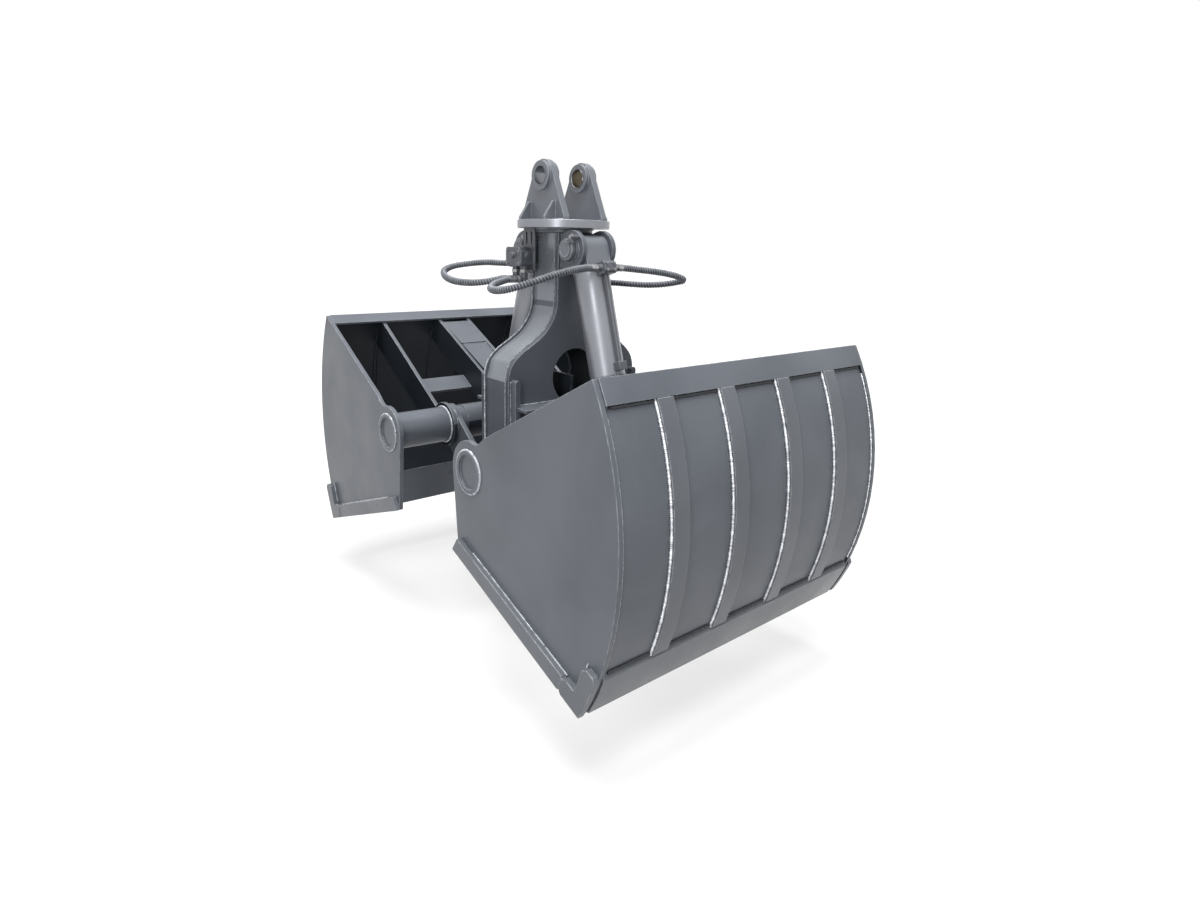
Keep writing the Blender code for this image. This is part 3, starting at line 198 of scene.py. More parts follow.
def steel_paint(name, dark, light, edge_colour, rough, metallic, shine=0.5):
    """Semi-gloss machine paint: cloudy tone, fine orange peel, rubbed brighter along the edges."""
    finish = Finish(name, metallic)
    finish.shader.inputs["Specular IOR Level"].default_value = shine
    cloud = finish.spread(finish.noise(scale=2.3, detail=5, distortion=0.4), 0.35, 0.65, 0, 1)
    rubbed, round_normal = finish.edge(EDGE_RUB_R)
    colour = finish.mix(cloud, dark, light)
    speck = finish.spread(finish.noise(scale=260, detail=2), 0.62, 0.75, 0, 0.35)
    colour = finish.mix(speck, colour, tuple(c * SPECK_LIFT for c in light))
    broken = finish.nodes.new("ShaderNodeMath")
    broken.operation = "MULTIPLY"
    finish.links.new(rubbed, broken.inputs[0])
    finish.links.new(finish.spread(finish.noise(scale=38, detail=3), 0.36, 0.58, 0.15, 0.8), broken.inputs[1])
    colour = finish.mix(broken.outputs["Value"], colour, edge_colour)
    finish.feed("Base Color", colour)
    finish.feed("Roughness", finish.spread(finish.noise(scale=7, detail=5), 0.3, 0.7, rough - 0.05, rough + 0.07))
    peel = finish.bump(finish.noise(scale=420, detail=2), strength=0.05, distance=0.0006, under=round_normal)
    finish.feed("Normal", finish.bump(finish.noise(scale=9, detail=3), strength=0.05, distance=0.004, under=peel))
    return finish.material


def bare_metal(name, colour, rough, stretch, streak):
    """Turned or ground steel with fine grain across it."""
    finish = Finish(name, 1)
    grain = finish.noise(scale=streak, detail=3, stretch=stretch)
    tone = finish.spread(grain, 0.3, 0.7, 0, 1)
    finish.feed("Base Color", finish.mix(tone, tuple(c * GRAIN_DROP for c in colour), colour))
    finish.feed("Roughness", finish.spread(finish.noise(scale=14, detail=4), 0.3, 0.7, rough - 0.05, rough + 0.08))
    finish.feed("Normal", finish.bump(grain, strength=0.08, distance=0.0004))
    return finish.material


def bead_metal(name, metallic, dark, light):
    """Weld beads: uneven tone along the bead, fine ripples."""
    finish = Finish(name, metallic)
    tone = finish.spread(finish.noise(scale=55, detail=4), 0.32, 0.62, 0, 1)
    finish.feed("Base Color", finish.mix(tone, dark, light))
    finish.feed("Roughness", finish.spread(finish.noise(scale=120, detail=2), 0.3, 0.7, 0.24, 0.42))
    finish.feed("Normal", finish.bump(finish.noise(scale=700, detail=2), strength=0.25, distance=0.0006))
    return finish.material


def rubber(name, dark, light, rough):
    """Hose covers, seals and plastic guards: almost even, slightly dull."""
    finish = Finish(name, 0)
    tone = finish.spread(finish.noise(scale=40, detail=4), 0.3, 0.7, 0, 1)
    finish.feed("Base Color", finish.mix(tone, dark, light))
    finish.feed("Roughness", finish.spread(finish.noise(scale=60, detail=3), 0.3, 0.7, rough - 0.06, rough + 0.08))
    finish.feed("Normal", finish.bump(finish.noise(scale=900, detail=2), strength=0.15, distance=0.0004))
    return finish.material


PAINT = steel_paint("graphite_paint", (0.096, 0.108, 0.126), (0.130, 0.142, 0.164), (0.46, 0.48, 0.52),
                    rough=0.33, metallic=0.08, shine=0.32)
# Painted sheen: a lighter copy of the body paint on the webs' shoulders and necks, standing in for the light they
# catch
SHEEN = steel_paint("shoulder_painted_sheen", (0.205, 0.222, 0.250), (0.262, 0.281, 0.312), (0.58, 0.60, 0.64),
                    rough=0.27, metallic=0.3)
# Lighter copy of the body paint: on the ears it is painted light, for the light they catch; on the pins' heads and
# the barrels' eyes it is their own grey paint
HEAD_PAINT_AND_LIGHT = steel_paint("head_paint_and_light", (0.140, 0.151, 0.174), (0.180, 0.192, 0.218), (0.50, 0.52, 0.56),
                   rough=0.33, metallic=0.1)
# Painted shade: near black copy of the body paint for the shells' inner faces, the ribs, channel and box diaphragm,
# where shade falls
INNER_SHADE = steel_paint("inner_paint", (0.016, 0.020, 0.026), (0.028, 0.034, 0.043), (0.20, 0.22, 0.25),
                    rough=0.44, metallic=0, shine=0.2)
WEAR = steel_paint("wear_steel", (0.105, 0.115, 0.131), (0.140, 0.150, 0.169), (0.54, 0.55, 0.57),
                   rough=0.31, metallic=0.15, shine=0.35)
SATIN = steel_paint("satin_flange", (0.25, 0.26, 0.29), (0.32, 0.33, 0.36), (0.60, 0.61, 0.64),
                    rough=0.34, metallic=0.5)
BARREL = steel_paint("barrel_paint", (0.275, 0.286, 0.316), (0.296, 0.308, 0.338), (0.52, 0.53, 0.56),
                     rough=0.36, metallic=0.5)
FITTING = steel_paint("dark_fitting", (0.085, 0.093, 0.108), (0.120, 0.129, 0.147), (0.36, 0.37, 0.40),
                      rough=0.36, metallic=0.15)
CHROME = bare_metal("chrome_rod", (0.46, 0.47, 0.49), rough=0.16, stretch=(1, 1, 1), streak=60)
STEEL = bare_metal("bare_steel", (0.26, 0.27, 0.29), rough=0.34, stretch=(1, 6, 1), streak=90)
ZINC = bare_metal("zinc_fastener", (0.36, 0.36, 0.37), rough=0.32, stretch=(1, 1, 1), streak=160)
BRONZE = bare_metal("bronze_bush", (0.135, 0.115, 0.085), rough=0.42, stretch=(1, 9, 1), streak=80)
# Bright beads; on the straps they stand only on the lit side, a painted highlight
WELD = bead_metal("weld_bead", metallic=0.55, dark=(0.42, 0.43, 0.46), light=(0.90, 0.91, 0.94))
RING_WELD = bead_metal("ring_weld", metallic=0.35, dark=(0.24, 0.255, 0.285), light=(0.54, 0.56, 0.60))
PAINTED_WELD = bead_metal("painted_weld", metallic=0.3, dark=(0.14, 0.15, 0.17), light=(0.34, 0.36, 0.40))
# Painted shadow: near black beads in the shade under the top bar, over the lip and inside the shell
SHADOW_SEAM = bead_metal("painted_shadow_seam", metallic=0.1, dark=(0.016, 0.019, 0.024), light=(0.030, 0.034, 0.042))
HOSE = rubber("hose_cover", dark=(0.040, 0.044, 0.052), light=(0.062, 0.067, 0.077), rough=0.5)
GUARD = rubber("spiral_guard", dark=(0.16, 0.172, 0.198), light=(0.25, 0.265, 0.295), rough=0.3)


# Making and placing pieces

# Where smooth shading breaks, which edges are eased, and which faces count as one flat
SHARP_FROM = math.radians(32)
EASE_FROM = math.radians(30)
FLAT_WITHIN = math.radians(0.6)
SAME_SPOT = 0.00003
SPIN_SPOT = 0.00001
# An eased copy may not reach further out than this past the plain one
GROWTH_ALLOWED = 0.0002
EASE_STEPS = 2
LEVEL_WEIGHT = 90
FOLD_BAND = 0.003
# Normals past these shares of one count as looking across, up, and towards the middle
ACROSS = 0.9
UPWARD = 0.2
MIDWARD = 0.5


def keep(name, mesh, looks, body):
    """A finished piece, its place in its mesh, riding on its body."""
    mesh.materials.clear()
    for look in looks:
        mesh.materials.append(look)
    made = bpy.data.objects.new(name, mesh)
    bpy.context.scene.collection.objects.link(made)
    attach(made, body)
    return made


def evaluated(made):
    """Plain mesh of an object with its modifiers done; the object itself is removed."""
    view = bpy.context.evaluated_depsgraph_get()
    mesh = bpy.data.meshes.new_from_object(made.evaluated_get(view))
    bpy.data.objects.remove(made, do_unlink=True)
    return mesh


def trial(mesh):
    made = bpy.data.objects.new("trial", mesh)
    bpy.context.scene.collection.objects.link(made)
    return made


def reach(mesh):
    """How far the mesh goes each of the six ways."""
    low = [-min(v.co[i] for v in mesh.vertices) for i in range(3)]
    high = [max(v.co[i] for v in mesh.vertices) for i in range(3)]
    return low + high


def looks_inside(face, sign):
    """A face of a shell plate that looks across into the shell, or towards the middle of its arc; such faces take
    painted shade.
    """
    way = face.normal
    if abs(way.y) > ACROSS:
        return way.y * face.center.y < 0
    middle = seat(sign, 0, swung((-ARC_U, ARC_W)))
    return way.x * (face.center.x - middle[0]) + way.z * (face.center.z - middle[2]) < -MIDWARD * WALL_R


def looks_up(face, sign):
    """An upper face of a rib or channel, which catches the light and so keeps the body paint, while the rest of it
    takes painted shade.
    """
    return face.normal.z > UPWARD


def on_shoulder(face, sign):
    """A face of a web's shoulder and neck, which get painted sheen and so look brighter than its foot."""
    return looks_up(face, sign) or face.center.z > S_TOP


def on_spigot(face, sign):
    """A face of the spigot under the flange."""
    return face.center.z < FLANGE_SEAT


def on_eye(face, sign):
    """A face of the barrel's eye, which has the paint of the head."""
    return math.hypot(abs(face.center.x) - TOP_PIN[0], face.center.z - TOP_PIN[1]) < EYE_REACH


# Pieces with a second finish: how their nodes end, the finish, and the test that picks its faces. Some of these are
# painted light: the shells' inner faces take painted shade, the lit tops of the shaded ribs and channel keep the body
# paint, and the webs' shoulders and necks take painted sheen.
SECOND_LOOKS = (
    (("side_left", "side_right", "back_wall"), INNER_SHADE, looks_inside),
    (("rib_left", "rib_right", "channel"), PAINT, looks_up),
    (("head_flange",), PAINT, on_spigot),
    (("_barrel",), HEAD_PAINT_AND_LIGHT, on_eye),
    (("frame_web_left", "frame_web_right"), SHEEN, on_shoulder))


def creased(mesh, height):
    """Keeps the fold of a pressed plate sharp where it runs level at this height."""
    spots = mesh.vertices
    for edge in mesh.edges:
        if all(abs(spots[i].co.z - height) < FOLD_BAND for i in edge.vertices):
            edge.use_edge_sharp = True


def eased(plain, width):
    """Copy of the mesh with its edges eased, or the mesh itself where that would make it larger."""
    made = trial(plain.copy())
    ease = made.modifiers.new("ease", "BEVEL")
    ease.width = width
    ease.segments = EASE_STEPS
    ease.limit_method = "ANGLE"
    ease.angle_limit = EASE_FROM
    ease.use_clamp_overlap = False
    ease.miter_outer = "MITER_ARC"
    mesh = evaluated(made)
    grown = max(a - b for a, b in zip(reach(mesh), reach(plain)))
    return mesh if grown < GROWTH_ALLOWED else plain


def dressed(node, look, body, width):
    """Smooth copy of a steel piece, with its edges eased, that stands in for it."""
    shape = bmesh.new()
    shape.from_mesh(frame["nodes"][node].data)
    bmesh.ops.remove_doubles(shape, verts=shape.verts, dist=SAME_SPOT)
    bmesh.ops.dissolve_limit(shape, angle_limit=FLAT_WITHIN, verts=shape.verts, edges=shape.edges)
    plain = bpy.data.meshes.new(node + "_plain")
    shape.to_mesh(plain)
    shape.free()
    mesh = eased(plain, width)
    mesh.shade_smooth()
    mesh.set_sharp_from_angle(angle=SHARP_FROM)
    if node.startswith("frame_web"):
        creased(mesh, S_BOTTOM)
    made = trial(mesh)
    level = made.modifiers.new("level", "WEIGHTED_NORMAL")
    level.keep_sharp = True
    level.weight = LEVEL_WEIGHT
    mesh = evaluated(made)
    mesh.name = node + "_finish"
    second = [(other, test) for endings, other, test in SECOND_LOOKS if node.endswith(endings)]
    piece = keep(node + "_finish", mesh, [look] + [other for other, test in second], body)
    sign = 1 if node.startswith("front") else -1
    for other, test in second:
        for face in mesh.polygons:
            face.material_index = 1 if test(face, sign) else 0
    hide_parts(node)
    return piece


def turned(profile, centre, along, segments):
    """Round body spun from a profile of (radius, height) points about the axis through the centre."""
    shape = bmesh.new()
    spots = [shape.verts.new((radius, 0, height)) for radius, height in profile]
    edges = [shape.edges.new(pair) for pair in zip(spots, spots[1:])]
    if profile[0][0] > 0:
        edges.append(shape.edges.new((spots[-1], spots[0])))
    bmesh.ops.spin(shape, geom=spots + edges, cent=(0, 0, 0), axis=(0, 0, 1), dvec=(0, 0, 0),
                   angle=2 * math.pi, steps=segments, use_merge=True)
    bmesh.ops.remove_doubles(shape, verts=shape.verts, dist=SPIN_SPOT)
    turn = Vector((0, 0, 1)).rotation_difference(Vector(along)).to_matrix().to_4x4()
    bmesh.ops.transform(shape, matrix=Matrix.Translation(centre) @ turn, verts=shape.verts)
    bmesh.ops.recalc_face_normals(shape, faces=shape.faces)
    mesh = bpy.data.meshes.new("turned")
    shape.to_mesh(mesh)
    shape.free()
    mesh.shade_smooth()
    mesh.set_sharp_from_angle(angle=SHARP_FROM)
    return mesh


def together(meshes):
    """One mesh of several, each keeping its sharp edges."""
    shape = bmesh.new()
    for mesh in meshes:
        shape.from_mesh(mesh)
    joined = bpy.data.meshes.new("together")
    shape.to_mesh(joined)
    shape.free()
    return joined


# Node trees for what repeats

class Tree:
    """A Geometry Nodes tree under construction, with named inputs."""

    def __init__(self, name):
        self.group = bpy.data.node_groups.new(name, "GeometryNodeTree")
        self.group.interface.new_socket(name="Geometry", in_out="INPUT", socket_type="NodeSocketGeometry")
        self.group.interface.new_socket(name="Geometry", in_out="OUTPUT", socket_type="NodeSocketGeometry")
        self.inputs = {}

    def add_input(self, name, kind, value=None):
        socket = self.group.interface.new_socket(name=name, in_out="INPUT", socket_type="NodeSocket" + kind)
        if value is not None:
            socket.default_value = value
        self.inputs[name] = socket.identifier

    def start(self):
        self.source = self.group.nodes.new("NodeGroupInput").outputs
        self.end = self.group.nodes.new("NodeGroupOutput").inputs

    def add(self, kind, **values):
        node = self.group.nodes.new(kind)
        for key, value in values.items():
            setattr(node, key, value)
        return node

    def link(self, a, b):
        self.group.links.new(a, b)

    def close(self, geometry):
        """Plain geometry in one material, as the last steps of the tree."""
        plain = self.add("GeometryNodeRealizeInstances")
        smooth = self.add("GeometryNodeSetShadeSmooth")
        dress = self.add("GeometryNodeSetMaterial")
        self.link(geometry, plain.inputs["Geometry"])
        self.link(plain.outputs["Geometry"], smooth.inputs["Geometry"])
        self.link(smooth.outputs["Geometry"], dress.inputs["Geometry"])
        self.link(self.source["Material"], dress.inputs["Material"])
        self.link(dress.outputs["Geometry"], self.end["Geometry"])

    def grow(self, mesh, **values):
        """Mesh that the tree makes of this one, with its inputs set."""
        made = trial(mesh)
        modifier = made.modifiers.new("grow", "NODES")
        modifier.node_group = self.group
        for name, value in values.items():
            modifier[self.inputs[name]] = value
        return evaluated(made)


def bead_tree():
    """Weld bead: overlapping drops along each line, their size from the line's own bead value."""
    tree = Tree("weld_beads")
    tree.add_input("Pitch", "Float", 0.005)
    tree.add_input("Unevenness", "Float", 0.12)
    tree.add_input("Seed", "Int", 3)
    tree.add_input("Material", "Material")
    tree.start()
    line = tree.add("GeometryNodeMeshToCurve")
    steps = tree.add("GeometryNodeResampleCurve", mode="LENGTH")
    tree.link(tree.source["Geometry"], line.inputs["Mesh"])
    tree.link(line.outputs["Curve"], steps.inputs["Curve"])
    tree.link(tree.source["Pitch"], steps.inputs["Length"])
    drop = tree.add("GeometryNodeMeshUVSphere")
    drop.inputs["Segments"].default_value = 7
    drop.inputs["Rings"].default_value = 4
    drop.inputs["Radius"].default_value = 1
    aim = tree.add("FunctionNodeAlignRotationToVector", axis="Z")
    tangent = tree.add("GeometryNodeInputTangent")
    tree.link(tangent.outputs["Tangent"], aim.inputs["Vector"])
    size = tree.add("GeometryNodeInputNamedAttribute", data_type="FLOAT")
    size.inputs["Name"].default_value = "bead"
    low = tree.add("ShaderNodeMath", operation="SUBTRACT")
    low.inputs[0].default_value = 1
    high = tree.add("ShaderNodeMath", operation="ADD")
    high.inputs[0].default_value = 1
    tree.link(tree.source["Unevenness"], low.inputs[1])
    tree.link(tree.source["Unevenness"], high.inputs[1])
    wander = tree.add("FunctionNodeRandomValue", data_type="FLOAT")
    tree.link(low.outputs["Value"], wander.inputs[2])
    tree.link(high.outputs["Value"], wander.inputs[3])
    tree.link(tree.source["Seed"], wander.inputs["Seed"])
    grow = tree.add("ShaderNodeMath", operation="MULTIPLY")
    tree.link(size.outputs["Attribute"], grow.inputs[0])
    tree.link(wander.outputs[1], grow.inputs[1])
    flat = tree.add("ShaderNodeMath", operation="MULTIPLY")
    flat.inputs[1].default_value = 0.8
    tree.link(grow.outputs["Value"], flat.inputs[0])
    scale = tree.add("ShaderNodeCombineXYZ")
    tree.link(grow.outputs["Value"], scale.inputs["X"])
    tree.link(grow.outputs["Value"], scale.inputs["Y"])
    tree.link(flat.outputs["Value"], scale.inputs["Z"])
    spread = tree.add("GeometryNodeInstanceOnPoints")
    tree.link(steps.outputs["Curve"], spread.inputs["Points"])
    tree.link(drop.outputs["Mesh"], spread.inputs["Instance"])
    tree.link(aim.outputs["Rotation"], spread.inputs["Rotation"])
    tree.link(scale.outputs["Vector"], spread.inputs["Scale"])
    tree.close(spread.outputs["Instances"])
    return tree


def guard_tree():
    """Spiral guard of a hose: slanted rings along its line."""
    tree = Tree("spiral_guard")
    tree.add_input("Pitch", "Float", 0.008)
    tree.add_input("Radius", "Float", HOSE_R)
    tree.add_input("Thickness", "Float", 0.002)
    tree.add_input("Slant", "Float", math.radians(22))
    tree.add_input("Material", "Material")
    tree.start()
    line = tree.add("GeometryNodeMeshToCurve")
    steps = tree.add("GeometryNodeResampleCurve", mode="LENGTH")
    tree.link(tree.source["Geometry"], line.inputs["Mesh"])
    tree.link(line.outputs["Curve"], steps.inputs["Curve"])
    tree.link(tree.source["Pitch"], steps.inputs["Length"])
    loop = tree.add("GeometryNodeCurvePrimitiveCircle")
    loop.inputs["Resolution"].default_value = 12
    tree.link(tree.source["Radius"], loop.inputs["Radius"])
    strip = tree.add("GeometryNodeCurvePrimitiveCircle")
    strip.inputs["Resolution"].default_value = 4
    tree.link(tree.source["Thickness"], strip.inputs["Radius"])
    ring = tree.add("GeometryNodeCurveToMesh")
    tree.link(loop.outputs["Curve"], ring.inputs["Curve"])
    tree.link(strip.outputs["Curve"], ring.inputs["Profile Curve"])
    aim = tree.add("FunctionNodeAlignRotationToVector", axis="Z")
    tangent = tree.add("GeometryNodeInputTangent")
    tree.link(tangent.outputs["Tangent"], aim.inputs["Vector"])
    slant = tree.add("ShaderNodeCombineXYZ")
    tree.link(tree.source["Slant"], slant.inputs["X"])
    turn = tree.add("FunctionNodeRotateRotation", rotation_space="LOCAL")
    tree.link(aim.outputs["Rotation"], turn.inputs["Rotation"])
    tree.link(slant.outputs["Vector"], turn.inputs["Rotate By"])
    spread = tree.add("GeometryNodeInstanceOnPoints")
    tree.link(steps.outputs["Curve"], spread.inputs["Points"])
    tree.link(ring.outputs["Mesh"], spread.inputs["Instance"])
    tree.link(turn.outputs["Rotation"], spread.inputs["Rotation"])
    tree.close(spread.outputs["Instances"])
    return tree


def screw_tree():
    """Hexagon screw heads on washers, each facing the way its point says."""
    tree = Tree("screws")
    tree.add_input("Head", "Float", 0.0095)
    tree.add_input("Height", "Float", 0.007)
    tree.add_input("Washer", "Float", 0.0125)
    tree.add_input("Material", "Material")
    tree.start()
    head = tree.add("GeometryNodeMeshCylinder")
    head.inputs["Vertices"].default_value = 6
    washer = tree.add("GeometryNodeMeshCylinder")
    washer.inputs["Vertices"].default_value = 20
    washer.inputs["Depth"].default_value = 0.002
    tree.link(tree.source["Head"], head.inputs["Radius"])
    tree.link(tree.source["Height"], head.inputs["Depth"])
    tree.link(tree.source["Washer"], washer.inputs["Radius"])
    lift = tree.add("ShaderNodeMath", operation="MULTIPLY")
    lift.inputs[1].default_value = 0.5
    tree.link(tree.source["Height"], lift.inputs[0])
    rise = tree.add("ShaderNodeCombineXYZ")
    tree.link(lift.outputs["Value"], rise.inputs["Z"])
    raised = tree.add("GeometryNodeTransform")
    tree.link(head.outputs["Mesh"], raised.inputs["Geometry"])
    tree.link(rise.outputs["Vector"], raised.inputs["Translation"])
    both = tree.add("GeometryNodeJoinGeometry")
    tree.link(raised.outputs["Geometry"], both.inputs["Geometry"])
    tree.link(washer.outputs["Mesh"], both.inputs["Geometry"])
    facing = tree.add("GeometryNodeInputNamedAttribute", data_type="FLOAT_VECTOR")
    facing.inputs["Name"].default_value = "facing"
    aim = tree.add("FunctionNodeAlignRotationToVector", axis="Z")
    tree.link(facing.outputs["Attribute"], aim.inputs["Vector"])
    spread = tree.add("GeometryNodeInstanceOnPoints")
    tree.link(tree.source["Geometry"], spread.inputs["Points"])
    tree.link(both.outputs["Geometry"], spread.inputs["Instance"])
    tree.link(aim.outputs["Rotation"], spread.inputs["Rotation"])
    tree.close(spread.outputs["Instances"])
    return tree


BEADS = bead_tree()
RINGS = guard_tree()
SCREWS = screw_tree()


def line_mesh(lines):
    """Open lines as one mesh of edges, each point carrying its line's bead size."""
    mesh = bpy.data.meshes.new("lines")
    points = []
    edges = []
    sizes = []
    for line, size in lines:
        start = len(points)
        points += [tuple(p) for p in line]
        edges += [(i, i + 1) for i in range(start, len(points) - 1)]
        sizes += [size] * len(line)
    mesh.from_pydata(points, edges, [])
    data = mesh.attributes.new("bead", "FLOAT", "POINT")
    data.data.foreach_set("value", sizes)
    return mesh


def weld_piece(name, lines, body, look):
    mesh = BEADS.grow(line_mesh(lines), Pitch=PITCH[name.split("_", 1)[1]], Material=look)
    keep(name, mesh, [look], body)


def screw_piece(name, spots, body, size):
    """Screws at (place, way) spots; size is the head's radius and height and the washer's radius."""
    mesh = bpy.data.meshes.new("spots")
    mesh.from_pydata([spot for spot, way in spots], [], [])
    data = mesh.attributes.new("facing", "FLOAT_VECTOR", "POINT")
    data.data.foreach_set("vector", [c for spot, way in spots for c in way])
    head, height, washer = size
    grown = SCREWS.grow(mesh, Head=head, Height=height, Washer=washer, Material=ZINC)
    grown.set_sharp_from_angle(angle=SHARP_FROM)
    keep(name, grown, [ZINC], body)


# Lines that the welds follow

def swung(point):
    """Place in the open shell, from the hinge, of a place drawn in the closed one."""
    u, w = point
    return (u * math.cos(OPEN) - w * math.sin(OPEN), u * math.sin(OPEN) + w * math.cos(OPEN))


def on_arc(radius, turn):
    """Place in the open shell on an arc about the middle of its curved wall."""
    return swung((-ARC_U + radius * math.sin(turn), ARC_W - radius * math.cos(turn)))


def seat(sign, y, point):
    """Place in the whole bucket of a place in a shell: sign 1 for the front one, -1 for the rear one."""
    return (sign * (HINGE_X + point[0]), y, HINGE_Z + point[1])


def circle(centre, along, radius, steps=36):
    """Closed round line about the axis."""
    along = Vector(along).normalized()
    first = along.orthogonal().normalized() * radius
    second = along.cross(first)
    return [Vector(centre) + first * math.cos(2 * math.pi * i / steps) + second * math.sin(2 * math.pi * i / steps)
            for i in range(steps + 1)]


def smooth_line(points, steps):
    """Even curve through the points, with this many steps between two of them."""
    spots = [Vector(p) for p in points]
    spots = [spots[0] * 2 - spots[1]] + spots + [spots[-1] * 2 - spots[-2]]
    made = []
    for i in range(1, len(spots) - 2):
        a, b, c, d = spots[i - 1], spots[i], spots[i + 1], spots[i + 2]
        for k in range(steps):
            t = k / steps
            made.append((b * 2 + (c - a) * t + (a * 2 - b * 5 + c * 4 - d) * t ** 2
                         + (b * 3 - a - c * 3 + d) * t ** 3) / 2)
    made.append(spots[-2])
    return made


def s_line(sink):
    """The box's outline down one side, moved across by the sink, as (y, z) places."""
    wide = BOX_HALF - NECK_HALF
    tall = S_TOP - S_BOTTOM
    curve = smooth_line([(NECK_HALF + wide * a, S_TOP - tall * b, 0) for a, b in S_SHARES], S_STEPS)
    line = [Vector((NECK_HALF, NECK_TOP, 0))] + curve + [Vector((BOX_HALF, S_BOTTOM - FOOT_TALL, 0))]
    moved = []
    for i, point in enumerate(line):
        step = (line[min(i + 1, len(line) - 1)] - line[max(i - 1, 0)]).normalized()
        moved.append((point.x + step.y * sink, point.y - step.x * sink))
    return moved


LIP_TURN = -math.asin((MOUTH - ARC_U) / LIP_R)
LIP_END = LIP_TURN + LIP_LONG / LIP_R
BAR_FROM = TOP_TURN - BAR_TALL / WALL_R

# Radius of a weld bead, by the joint that it closes
BEAD = {"strap": 0.0052, "strap_far": 0.0032, "corner": 0.0036, "tube_out": 0.0056, "tube_in": 0.0048,
        "tube_rib": 0.0050, "tube_channel": 0.0048, "cutter": 0.0036, "cutter_foot": 0.0034, "rib_foot": 0.0040,
        "seam": 0.0060, "web": 0.0036, "stiffener": 0.0036, "ear": 0.0036, "hinge_boss": 0.0034, "hinge_rim": 0.0040,
        "lug_ring": 0.0030, "lug": 0.0032, "flange": 0.0040, "barrel_top": 0.0036, "barrel_gland": 0.0030}
# Spacing of the drops, by piece
PITCH = {"wall_seams": 0.0058, "shell_bright_welds": 0.0052, "shell_ring_welds": 0.0054,
         "shell_painted_welds": 0.0056, "bright_welds": 0.0048, "painted_welds": 0.0052, "barrel_welds": 0.0046}
# Most beads' lines stand this far off the steel
OFF = 0.001

# Shell: straps over the wall, corners of the wall, side cutters, feet of the ribs
STRAPS = (-0.380, -0.130, 0.130, 0.380)
STRAP_BEAD_Y = 0.0315
STRAP_LIFT = 0.0035
STRAP_STEPS = 24
CORNER_LIFT = 0.0015
CORNER_FROM, CORNER_LESS = 0.02, 0.03
CORNER_STEPS = 30
CUTTER_WIDE = 0.054
CUTTER_ENDS = (-0.115, -0.64)
CUTTER_FOOT_TALL = 0.055
CUTTER_FOOT_FROM, CUTTER_FOOT_TO = 0.068, 0.166
CUTTER_FOOT_STEPS = 6
RIB_FOOT_DROP = 0.0135
RIB_FOOT_FROM = 13
# Seams between the straps' edges, near black beads painted as the shadow under the top bar and over the lip: where
# they start and end across, and how they lie
STRAP_EDGES = (-0.410, -0.350, -0.160, -0.100, 0.100, 0.160, 0.350, 0.410)
SEAM_CLEAR = 0.012
SEAM_SHORT = 0.008
SEAM_TURN = 0.0035
SEAM_LIFT = 0.002


